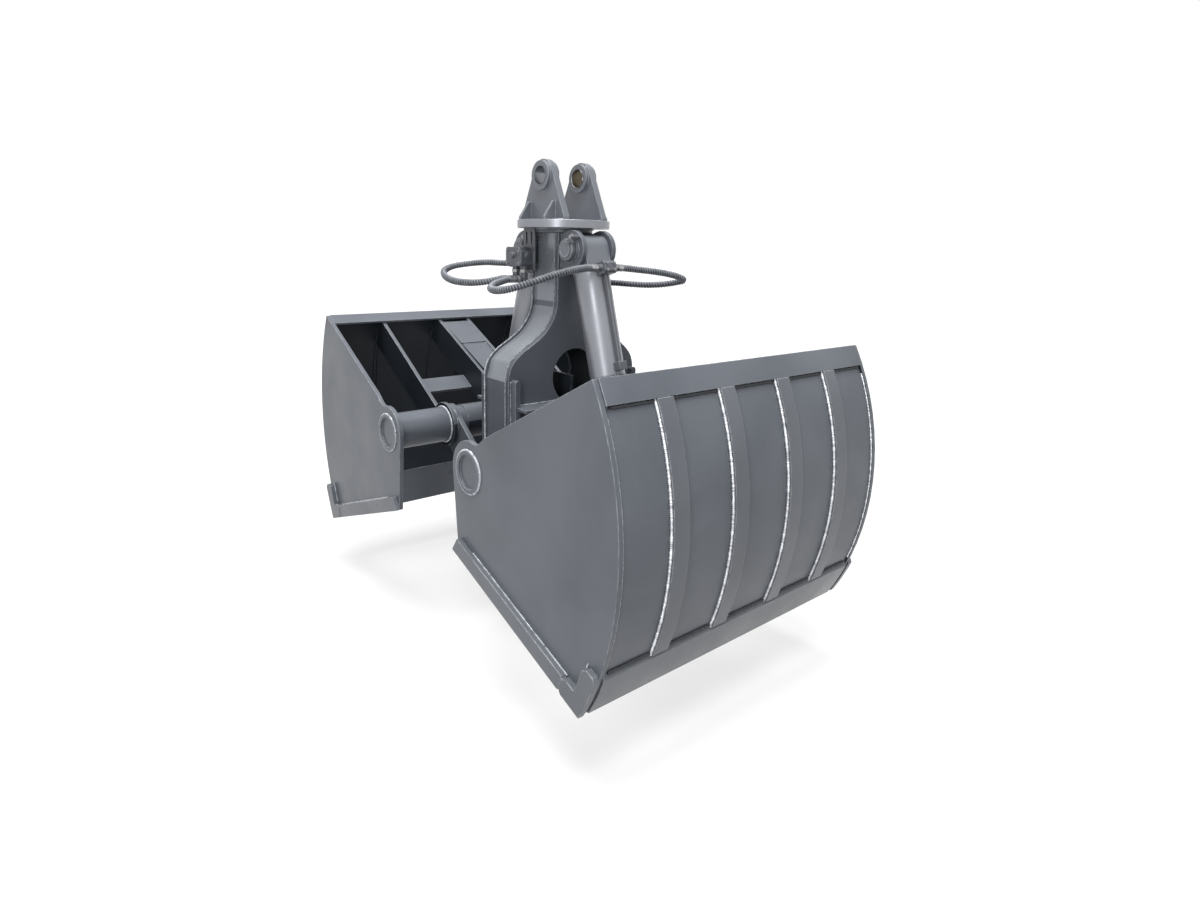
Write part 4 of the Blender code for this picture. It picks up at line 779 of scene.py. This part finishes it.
def shell_welds(word, sign):
    """Beads of one shell: straps, wall corners, tube ends, side cutters and rib feet, and the wall's seams. The lit
    side of each strap gets bright beads as a painted highlight and its other side calm ones; the beads inside the
    shell and the seams are near black, painted shade.
    """
    body = word + "_shell"
    bright, calm, shaded, rings = [], [], [], []
    turns = [LIP_END + (BAR_FROM - LIP_END) * i / STRAP_STEPS for i in range(STRAP_STEPS + 1)]
    for y in STRAPS:
        for side in (-1, 1):
            line = [seat(sign, y + side * STRAP_BEAD_Y, on_arc(WALL_R + STRAP_LIFT, turn)) for turn in turns]
            # Painted highlight: bright beads on the lit side of each strap, calm ones on its other side
            if side < 0:
                bright.append((line, BEAD["strap"]))
            else:
                calm.append((line, BEAD["strap_far"]))
    corner = [LIP_TURN + CORNER_FROM + (TOP_TURN - CORNER_LESS - LIP_TURN) * i / CORNER_STEPS
              for i in range(CORNER_STEPS + 1)][5:-3]
    foot_from = LIP_TURN + CUTTER_FOOT_FROM
    foot = [foot_from + (LIP_TURN + CUTTER_FOOT_TO - foot_from) * i / CUTTER_FOOT_STEPS
            for i in range(CUTTER_FOOT_STEPS + 1)]
    edge = -MOUTH + CUTTER_WIDE + OFF
    for side in (-1, 1):
        out = side * (HALF_WIDTH + OFF)
        inner = side * (HALF_WIDTH - SIDE_T - OFF)
        bright.append(([seat(sign, inner, on_arc(WALL_R + CORNER_LIFT, turn)) for turn in corner], BEAD["corner"]))
        # Rings on the inner side of the shell take the near black beads, painted shade
        for lines, y, bead in ((rings, out, "tube_out"), (shaded, inner, "tube_in"),
                               (rings, side * (RIB_Y + RIB_T + OFF), "tube_rib"),
                               (calm, side * (CHANNEL_Y + RIB_T + OFF), "tube_channel")):
            lines.append((circle((sign * HINGE_X, y, HINGE_Z), (0, 1, 0), TUBE_R + OFF), BEAD[bead]))
        rings.append(([seat(sign, out, swung((edge, low))) for low in CUTTER_ENDS], BEAD["cutter"]))
        rings.append(([seat(sign, out, on_arc(LIP_R - CUTTER_FOOT_TALL, turn)) for turn in foot],
                      BEAD["cutter_foot"]))
        # Rib feet lie inside the shell, in near black beads, painted shade
        for rib_y in (RIB_Y, RIB_Y + RIB_T, CHANNEL_Y + RIB_T):
            line = [seat(sign, side * rib_y, on_arc(WALL_R - RIB_FOOT_DROP, turn)) for turn in turns[RIB_FOOT_FROM:]]
            shaded.append((line, BEAD["rib_foot"]))
    wall_end = HALF_WIDTH - SIDE_T - SEAM_CLEAR
    edges = (-wall_end, *STRAP_EDGES, wall_end)
    # Painted shadow under the top bar and over the lip, between the straps
    for low, high in zip(edges[::2], edges[1::2]):
        for turn in (BAR_FROM - SEAM_TURN, LIP_END + SEAM_TURN):
            place = on_arc(WALL_R + SEAM_LIFT, turn)
            shaded.append(([seat(sign, low + SEAM_SHORT, place), seat(sign, high - SEAM_SHORT, place)], BEAD["seam"]))
    weld_piece(word + "_wall_seams", shaded, body, SHADOW_SEAM)
    weld_piece(word + "_shell_bright_welds", bright, body, WELD)
    weld_piece(word + "_shell_ring_welds", rings, body, RING_WELD)
    weld_piece(word + "_shell_painted_welds", calm, body, PAINTED_WELD)


# Frame: web, stiffener, feet of the ears, rings round the hinges, lugs, ring under the flange
WEB_SINK = 0.004
WEB_EDGE = 0.0148
WEB_BEAD_SHORT = 0.004
WEB_BEAD_LOW = 0.46
BAR_Y = 0.285
BAR_BEAD_Y = 0.0118
BAR_SPAN = (0.502, 0.757)
LEDGE_SPAN = (-0.272, 0.272)
LEDGE_Z = 0.668
EAR_FOOT_SPAN = (-0.126, 0.126)
EAR_FOOT_SIDES = (0.0745, 0.1015)
EAR_FOOT_Z = 1.3368
HINGE_RINGS = ((0.338, 0.075, "hinge_boss"), (0.316, 0.069, "hinge_rim"))
LUG_OUT_Y = 0.0785
LUG_RING_R = 0.0485
LUG_SIDES = (0.0602, 0.0780)
LUG_FOOT_X = 0.0898
LUG_SPAN = (1.166, 1.283)
FLANGE_RING_Z = 1.3055
FLANGE_RING_R = 0.1115
FLANGE_RING_STEPS = 60


def frame_welds():
    """Beads of the box and head; those at the rear edge of the webs are brighter, a painted highlight."""
    bright, calm = [], []
    side_line = s_line(-WEB_SINK)
    for sign in (-1, 1):
        face = sign * (PLATE_X + OFF)
        for side in (-1, 1):
            line = [(sign * (PLATE_X - WEB_EDGE), side * (y + OFF), z) for y, z in side_line[1:-1]]
            line = [(line[0][0], line[0][1], NECK_TOP - WEB_BEAD_SHORT)] + line
            line.append((line[-1][0], line[-1][1], WEB_BEAD_LOW))
            # Painted highlight: the rear web beads are bright, the front ones calm
            (bright if sign < 0 else calm).append((line, BEAD["web"]))
            for edge in (-BAR_BEAD_Y, BAR_BEAD_Y):
                calm.append(([(face, side * BAR_Y + edge, z) for z in BAR_SPAN], BEAD["stiffener"]))
        calm.append(([(face, y, LEDGE_Z) for y in LEDGE_SPAN], BEAD["stiffener"]))
    for side in (-1, 1):
        for y in EAR_FOOT_SIDES:
            calm.append(([(x, side * y, EAR_FOOT_Z) for x in EAR_FOOT_SPAN], BEAD["ear"]))
        for sign in (-1, 1):
            for y, radius, bead in HINGE_RINGS:
                calm.append((circle((sign * HINGE_X, side * y, HINGE_Z), (0, 1, 0), radius), BEAD[bead]))
            lug = (sign * TOP_PIN[0], side * LUG_OUT_Y, TOP_PIN[1])
            calm.append((circle(lug, (0, 1, 0), LUG_RING_R), BEAD["lug_ring"]))
            for y in LUG_SIDES:
                calm.append(([(sign * LUG_FOOT_X, side * y, z) for z in LUG_SPAN], BEAD["lug"]))
    calm.append((circle((0, 0, FLANGE_RING_Z), (0, 0, 1), FLANGE_RING_R, FLANGE_RING_STEPS), BEAD["flange"]))
    weld_piece("frame_bright_welds", bright, "frame", RING_WELD)
    weld_piece("frame_painted_welds", calm, "frame", PAINTED_WELD)


# Trim of the cylinders, pins, hoses, ears and valve. A profile is (radius, distance along its axis).
def cylinder_axis(sign):
    start = Vector((sign * TOP_PIN[0], 0, TOP_PIN[1]))
    down = (Vector((sign * ROD_PIN[0], 0, ROD_PIN[1])) - start).normalized()
    return start, down


# Distance down the cylinder and radius of the ring beads on its barrel
BARREL_RINGS = ((0.0850, 0.0640, "barrel_top"), (0.4705, 0.0625, "barrel_gland"))
SLEEVE = ((0.0610, 0.086), (0.0650, 0.086), (0.0650, 0.469), (0.0610, 0.469))
SLEEVE_STEPS = 72
WIPER = ((0.0312, 0.486), (0.044, 0.486), (0.044, 0.4945), (0.0335, 0.4965), (0.0312, 0.4965))
ROUND_STEPS = 48
PORT_DOWN = 0.088
PORT_FACE = 0.1109
PORT_SCREW_DOWN = (-0.012, 0.012)
PORT_SCREW_Y = (-0.017, 0.017)
PORT_SCREW = (0.0045, 0.005, 0.0058)


def cylinder_trim(word, sign):
    """Ring beads, smooth sleeve, wiper seal, and the screws of the upper port block."""
    start, down = cylinder_axis(sign)
    body = word + "_barrel"
    rings = [(circle(start + down * far, down, radius), BEAD[bead]) for far, radius, bead in BARREL_RINGS]
    weld_piece(word + "_barrel_welds", rings, body, PAINTED_WELD)
    keep(word + "_barrel_tube", turned(SLEEVE, start, down, SLEEVE_STEPS), [BARREL], body)
    keep(word + "_wiper_seal", turned(WIPER, start, down, ROUND_STEPS), [HOSE], body)
    out = Vector((-down.z * sign, 0, down.x * sign))
    base = start + down * PORT_DOWN + out * PORT_FACE
    spots = [(tuple(base + down * a + Vector((0, y, 0))), tuple(out)) for a in PORT_SCREW_DOWN for y in PORT_SCREW_Y]
    screw_piece(word + "_port_screws", spots, body, PORT_SCREW)


PIN_FACE_Y = -0.1051
PIN_DISC = ((0, 0), (0.029, 0), (0.030, 0.001), (0.030, 0.0025), (0.029, 0.0035), (0.024, 0.0035),
            (0.023, 0.0022), (0, 0.0022))
KEEPER_LEAN = math.radians(48)
KEEPER_OUT = 0.050
KEEPER_Y = -0.1079
KEEPER_SIZE = (0.040, 0.005, 0.018)
KEEPER_EASE = 0.0012
KEEPER_SCREW = (0.0065, 0.006, 0.0082)
KEEPER_SCREW_Y = -0.1104
POST = ((0, 0), (0.0085, 0), (0.0085, 0.0275), (0, 0.0275))
POST_OUT = 0.060
POST_Y = -0.0777
POST_STEPS = 20


def pin_trim(word, sign):
    """Raised disc on the head of the upper cylinder pin, and the keeper bar that stops the pin turning."""
    x, z = sign * TOP_PIN[0], TOP_PIN[1]
    across, rise = math.cos(KEEPER_LEAN), math.sin(KEEPER_LEAN)
    disc = turned(PIN_DISC, (x, PIN_FACE_Y, z), (0, -1, 0), ROUND_STEPS)
    keep(word + "_pin_disc", disc, [HEAD_PAINT_AND_LIGHT], "frame")
    far = Vector((x + POST_OUT * across, POST_Y, z + POST_OUT * rise))
    post = turned(POST, far, (0, -1, 0), POST_STEPS)
    bar = bmesh.new()
    bmesh.ops.create_cube(bar, size=1)
    bmesh.ops.scale(bar, vec=KEEPER_SIZE, verts=bar.verts)
    bmesh.ops.bevel(bar, geom=bar.edges[:], offset=KEEPER_EASE, segments=EASE_STEPS, affect="EDGES")
    centre = Vector((x + KEEPER_OUT * across, KEEPER_Y, z + KEEPER_OUT * rise))
    lean = Matrix.Rotation(-KEEPER_LEAN, 4, "Y")
    bmesh.ops.transform(bar, matrix=Matrix.Translation(centre) @ lean, verts=bar.verts)
    plate = bpy.data.meshes.new("bar")
    bar.to_mesh(plate)
    bar.free()
    keep(word + "_pin_keeper", together([post, plate]), [FITTING], "frame")
    screw_piece(word + "_pin_screw", [((far.x, KEEPER_SCREW_Y, far.z), (0, -1, 0))], "frame", KEEPER_SCREW)


CORE_R = HOSE_R - 0.0022
HOSE_STEPS = 8
HOSE_ROUND = 4
GUARD_PITCH = 0.0105
GUARD_T = 0.0030
GUARD_SLANT = math.radians(20)
FERRULE = ((0.0092, 0.010), (0.0128, 0.010), (0.0132, 0.012), (0.0132, 0.016), (0.0126, 0.0165),
           (0.0126, 0.0185), (0.0132, 0.019), (0.0132, 0.026), (0.0126, 0.0265), (0.0126, 0.0285),
           (0.0132, 0.029), (0.0132, 0.034), (0.0118, 0.0355), (0.0092, 0.0355))
FERRULE_STEPS = 28
HOSE_NUT = ((0.0085, 0.0004), (0.0122, 0.0004), (0.0130, 0.0016), (0.0130, 0.0085), (0.0122, 0.0096),
            (0.0085, 0.0096))
NUT_SIDES = 6


def hose_pieces(name, route):
    """Rubber core, spiral guard, and a crimped ferrule with a nut at each end."""
    spots = [Vector(p) for p in zip(*route)]
    bent = smooth_line(spots, HOSE_STEPS)[HOSE_STEPS:-HOSE_STEPS]
    line = [spots[0]] + bent + [spots[-1]]
    curve = bpy.data.curves.new(name, "CURVE")
    curve.dimensions = "3D"
    spline = curve.splines.new("POLY")
    spline.points.add(len(line) - 1)
    for point, spot in zip(spline.points, line):
        point.co = (*spot, 1)
    curve.bevel_depth = CORE_R
    curve.bevel_resolution = HOSE_ROUND
    curve.use_fill_caps = True
    core_object = bpy.data.objects.new(name + "_line", curve)
    bpy.context.scene.collection.objects.link(core_object)
    core = evaluated(core_object)
    core.shade_smooth()
    piece = keep(name + "_core", core, [HOSE], "frame")
    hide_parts(name)
    guarded = RINGS.grow(line_mesh([(line[1:-1], 1)]), Pitch=GUARD_PITCH, Radius=CORE_R,
                         Thickness=GUARD_T, Slant=GUARD_SLANT, Material=GUARD)
    keep(name + "_guard", guarded, [GUARD], "frame")
    ends = []
    for tip, inner in ((line[0], line[1]), (line[-1], line[-2])):
        way = (inner - tip).normalized()
        ends.append(turned(FERRULE, tip, way, FERRULE_STEPS))
        ends.append(turned(HOSE_NUT, tip, way, NUT_SIDES))
    keep(name + "_ends", together(ends), [ZINC], "frame")


# Ends of the ears' bushes along the bore, from the middle of the bucket
BUSH_LOW, BUSH_HIGH = 0.0622, 0.1138
BUSH = ((0.0328, BUSH_LOW), (0.0340, BUSH_LOW - 0.0012), (0.0346, BUSH_LOW), (0.0346, BUSH_HIGH),
        (0.0328, BUSH_HIGH))
LINING = ((0.0314, BUSH_LOW + 0.001), (0.0327, BUSH_LOW + 0.001), (0.0327, BUSH_HIGH - 0.001),
          (0.0314, BUSH_HIGH - 0.001))
BUSH_STEPS = 56


def ear_bushes():
    """Steel bush in each ear's bore; the right one has a bronze lining."""
    middle = (0, 0, EAR_BORE_Z)
    bushes = [turned(BUSH, middle, (0, side, 0), BUSH_STEPS) for side in (-1, 1)]
    keep("ear_bushes", together(bushes), [STEEL], "frame")
    keep("ear_bush_lining", turned(LINING, middle, (0, 1, 0), BUSH_STEPS), [BRONZE], "frame")


VALVE_FRONT_Y = -0.1732
VALVE_SCREW_X = (-0.122, -0.042)
VALVE_SCREW_Z = (1.176, 1.222)
VALVE_SCREW = (0.0042, 0.005, 0.0055)
FITTING_X = (-0.055, -0.108)
STEM_NUT = ((0.0168, 0), (0.0184, 0.0014), (0.0184, 0.0126), (0.0168, 0.014), (0.0135, 0.014), (0.0135, 0))
STEM_NUT_PLACE = (-0.142, 1.155)
ELBOW_NUT = ((0.0136, 0), (0.0146, 0.0010), (0.0146, 0.0120), (0.0136, 0.013), (0.0116, 0.013), (0.0116, 0))
ELBOW_NUT_PLACE = (-0.1600, 1.118)


def valve_trim():
    """Screws on the front of the valve block, and two nuts on each of its elbow fittings."""
    spots = [((x, VALVE_FRONT_Y, z), (0, -1, 0)) for x in VALVE_SCREW_X for z in VALVE_SCREW_Z]
    screw_piece("valve_screws", spots, "frame", VALVE_SCREW)
    nuts = []
    for x in FITTING_X:
        nuts.append(turned(STEM_NUT, (x, *STEM_NUT_PLACE), (0, 0, -1), NUT_SIDES))
        nuts.append(turned(ELBOW_NUT, (x, *ELBOW_NUT_PLACE), (0, -1, 0), NUT_SIDES))
    keep("valve_nuts", together(nuts), [ZINC], "frame")


# Steel pieces: node ending, finish, record slot, eased edge in metres. The near black finish of the ribs, channel and
# diaphragm is painted shade, and the lighter head paint on the ears is painted light.
SHELL_PIECES = (
    ("side_left", PAINT, "graphite_paint", 0.0012), ("side_right", PAINT, "graphite_paint", 0.0012),
    ("back_wall", PAINT, "graphite_paint", 0.0010), ("lip", WEAR, "wear_steel", 0.0010),
    ("top_bar", PAINT, "graphite_paint", 0.0010), ("band_1", WEAR, "wear_steel", 0.0012),
    ("band_2", WEAR, "wear_steel", 0.0012), ("band_3", WEAR, "wear_steel", 0.0012),
    ("band_4", WEAR, "wear_steel", 0.0012), ("rib_left", INNER_SHADE, "inner_paint", 0.0012),
    ("rib_right", INNER_SHADE, "inner_paint", 0.0012), ("channel", INNER_SHADE, "inner_paint", 0.0008),
    ("torque_tube_left", PAINT, "graphite_paint", 0.0010), ("torque_tube_right", PAINT, "graphite_paint", 0.0010),
    ("side_cutter_left", WEAR, "wear_steel", 0.0015), ("side_cutter_right", WEAR, "wear_steel", 0.0015),
    ("rod_pin", STEEL, "bare_steel", 0.0008))
FRAME_PIECES = (
    ("frame_plate_front", PAINT, "graphite_paint", 0.0012), ("frame_plate_rear", PAINT, "graphite_paint", 0.0012),
    ("frame_web_left", PAINT, "graphite_paint", 0.0008), ("frame_web_right", PAINT, "graphite_paint", 0.0008),
    ("frame_diaphragm", INNER_SHADE, "inner_paint", 0.0010), ("frame_stiffener_front", PAINT, "graphite_paint", 0.0012),
    ("frame_stiffener_rear", PAINT, "graphite_paint", 0.0012), ("hinge_plate_left", PAINT, "graphite_paint", 0.0010),
    ("hinge_plate_right", PAINT, "graphite_paint", 0.0010), ("head_flange", SATIN, "graphite_paint", 0.0015),
    ("head_ear_left", HEAD_PAINT_AND_LIGHT, "graphite_paint", 0.0012), ("head_ear_right", HEAD_PAINT_AND_LIGHT, "graphite_paint", 0.0012),
    ("front_cylinder_lugs", PAINT, "graphite_paint", 0.0010), ("rear_cylinder_lugs", PAINT, "graphite_paint", 0.0010),
    ("front_cylinder_pin", HEAD_PAINT_AND_LIGHT, "bare_steel", 0.0008), ("rear_cylinder_pin", HEAD_PAINT_AND_LIGHT, "bare_steel", 0.0008),
    ("valve_block", FITTING, "dark_fitting", 0.0006))

for node, look, record_slot, width in FRAME_PIECES:
    dressed(node, look, "frame", width)
for word, sign in (("front", 1), ("rear", -1)):
    for ending, look, record_slot, width in SHELL_PIECES:
        dressed(word + "_" + ending, look, word + "_shell", width)
    dressed(word + "_barrel", BARREL, word + "_barrel", 0.0008)
    dressed(word + "_port_blocks", FITTING, word + "_barrel", 0.0006)
    dressed(word + "_rod", CHROME, word + "_rod", 0.0006)
    shell_welds(word, sign)
    cylinder_trim(word, sign)
    pin_trim(word, sign)
frame_welds()
for hose_name, hose_route in HOSES.items():
    hose_pieces(hose_name, hose_route)
ear_bushes()
valve_trim()


# Floor, light and camera

# The bucket hangs just high enough for its shells to close above the floor
FLOOR_Z = -0.240
FLOOR_HALF = 60
FLOOR_GLOW = 0.63
FILL_LEVEL = 0.24
KEY_PLACE = (1.9, -2.6, 1.9)
KEY_AIM = (0.6, 0, 0.7)
KEY_SIZE = (0.7, 2.6)
KEY_WATTS = 38
TOP_PLACE = (0.35, -0.25, 3.6)
TOP_POWER = 4.8
TOP_SOFTNESS_DEG = 40


def seen(nodes, links):
    """1 for rays of the camera, of shiny faces and of clear ones, else 0."""
    rays = nodes.new("ShaderNodeLightPath")
    value = rays.outputs["Is Camera Ray"]
    for name in ("Is Glossy Ray", "Is Transmission Ray"):
        either = nodes.new("ShaderNodeMath")
        either.operation = "MAXIMUM"
        links.new(value, either.inputs[0])
        links.new(rays.outputs[name], either.inputs[1])
        value = either.outputs["Value"]
    return value


def floor():
    """Pale floor that looks white in open light and still takes the bucket's shadow."""
    mesh = bpy.data.meshes.new("floor")
    corners = [(x * FLOOR_HALF, y * FLOOR_HALF, FLOOR_Z) for x, y in ((-1, -1), (1, -1), (1, 1), (-1, 1))]
    mesh.from_pydata(corners, [], [(0, 1, 2, 3)])
    finish = Finish("pale_floor", metallic=0, roughness=0.9)
    finish.shader.inputs["Specular IOR Level"].default_value = 0
    finish.feed("Base Color", finish.mix(finish.noise(scale=3, detail=3), (0.30, 0.30, 0.30), (0.32, 0.32, 0.32)))
    finish.shader.inputs["Emission Color"].default_value = (1, 1, 1, 1)
    finish.feed("Emission Strength", finish.spread(seen(finish.nodes, finish.links), 0, 1, 0, FLOOR_GLOW))
    mesh.materials.append(finish.material)
    made = bpy.data.objects.new("floor", mesh)
    bpy.context.scene.collection.objects.link(made)


def sun(name, place, power, softness_deg):
    """Soft even light from the direction of the place."""
    data = bpy.data.lights.new(name, "SUN")
    data.energy = power
    data.angle = math.radians(softness_deg)
    made = bpy.data.objects.new(name, data)
    made.location = place
    made.rotation_euler = Vector(place).to_track_quat("Z", "Y").to_euler()
    bpy.context.scene.collection.objects.link(made)


def softbox(name, place, target, size, power):
    """Upright soft light that gives the steel its long highlights."""
    data = bpy.data.lights.new(name, "AREA")
    data.shape = "RECTANGLE"
    data.size, data.size_y = size
    data.energy = power
    made = bpy.data.objects.new(name, data)
    made.location = place
    made.rotation_euler = (Vector(target) - Vector(place)).to_track_quat("-Z", "Y").to_euler()
    bpy.context.scene.collection.objects.link(made)


def world():
    """White behind the bucket, and an even fill on it."""
    sky = bpy.data.worlds.new("studio")
    sky.use_nodes = True
    nodes = sky.node_tree.nodes
    links = sky.node_tree.links
    level = nodes.new("ShaderNodeMapRange")
    level.inputs["To Min"].default_value = FILL_LEVEL
    level.inputs["To Max"].default_value = 1
    links.new(seen(nodes, links), level.inputs["Value"])
    links.new(level.outputs["Result"], nodes["Background"].inputs["Strength"])
    nodes["Background"].inputs["Color"].default_value = (1, 1, 1, 1)
    bpy.context.scene.world = sky


def camera():
    """Camera at the measured place, with its tilt and shift."""
    data = bpy.data.cameras.new("camera")
    data.lens = CAMERA_LENS_MM
    data.sensor_width = CAMERA_SENSOR_MM
    data.sensor_fit = "HORIZONTAL"
    data.shift_x, data.shift_y = CAMERA_SHIFT
    yaw = math.radians(CAMERA_YAW_DEG)
    pitch = math.radians(CAMERA_PITCH_DEG)
    roll = math.radians(CAMERA_ROLL_DEG)
    ahead = Vector((math.cos(yaw) * math.cos(pitch), math.sin(yaw) * math.cos(pitch), math.sin(pitch)))
    right = ahead.cross(Vector((0, 0, 1))).normalized()
    up = right.cross(ahead)
    right, up = right * math.cos(roll) + up * math.sin(roll), up * math.cos(roll) - right * math.sin(roll)
    made = bpy.data.objects.new("camera", data)
    made.matrix_world = Matrix.Translation(CAMERA_PLACE) @ Matrix((right, up, -ahead)).transposed().to_4x4()
    bpy.context.scene.collection.objects.link(made)
    bpy.context.scene.camera = made


floor()
world()
softbox("key", KEY_PLACE, KEY_AIM, KEY_SIZE, KEY_WATTS)
sun("top", TOP_PLACE, TOP_POWER, TOP_SOFTNESS_DEG)
camera()
bpy.context.scene.view_settings.view_transform = "Standard"
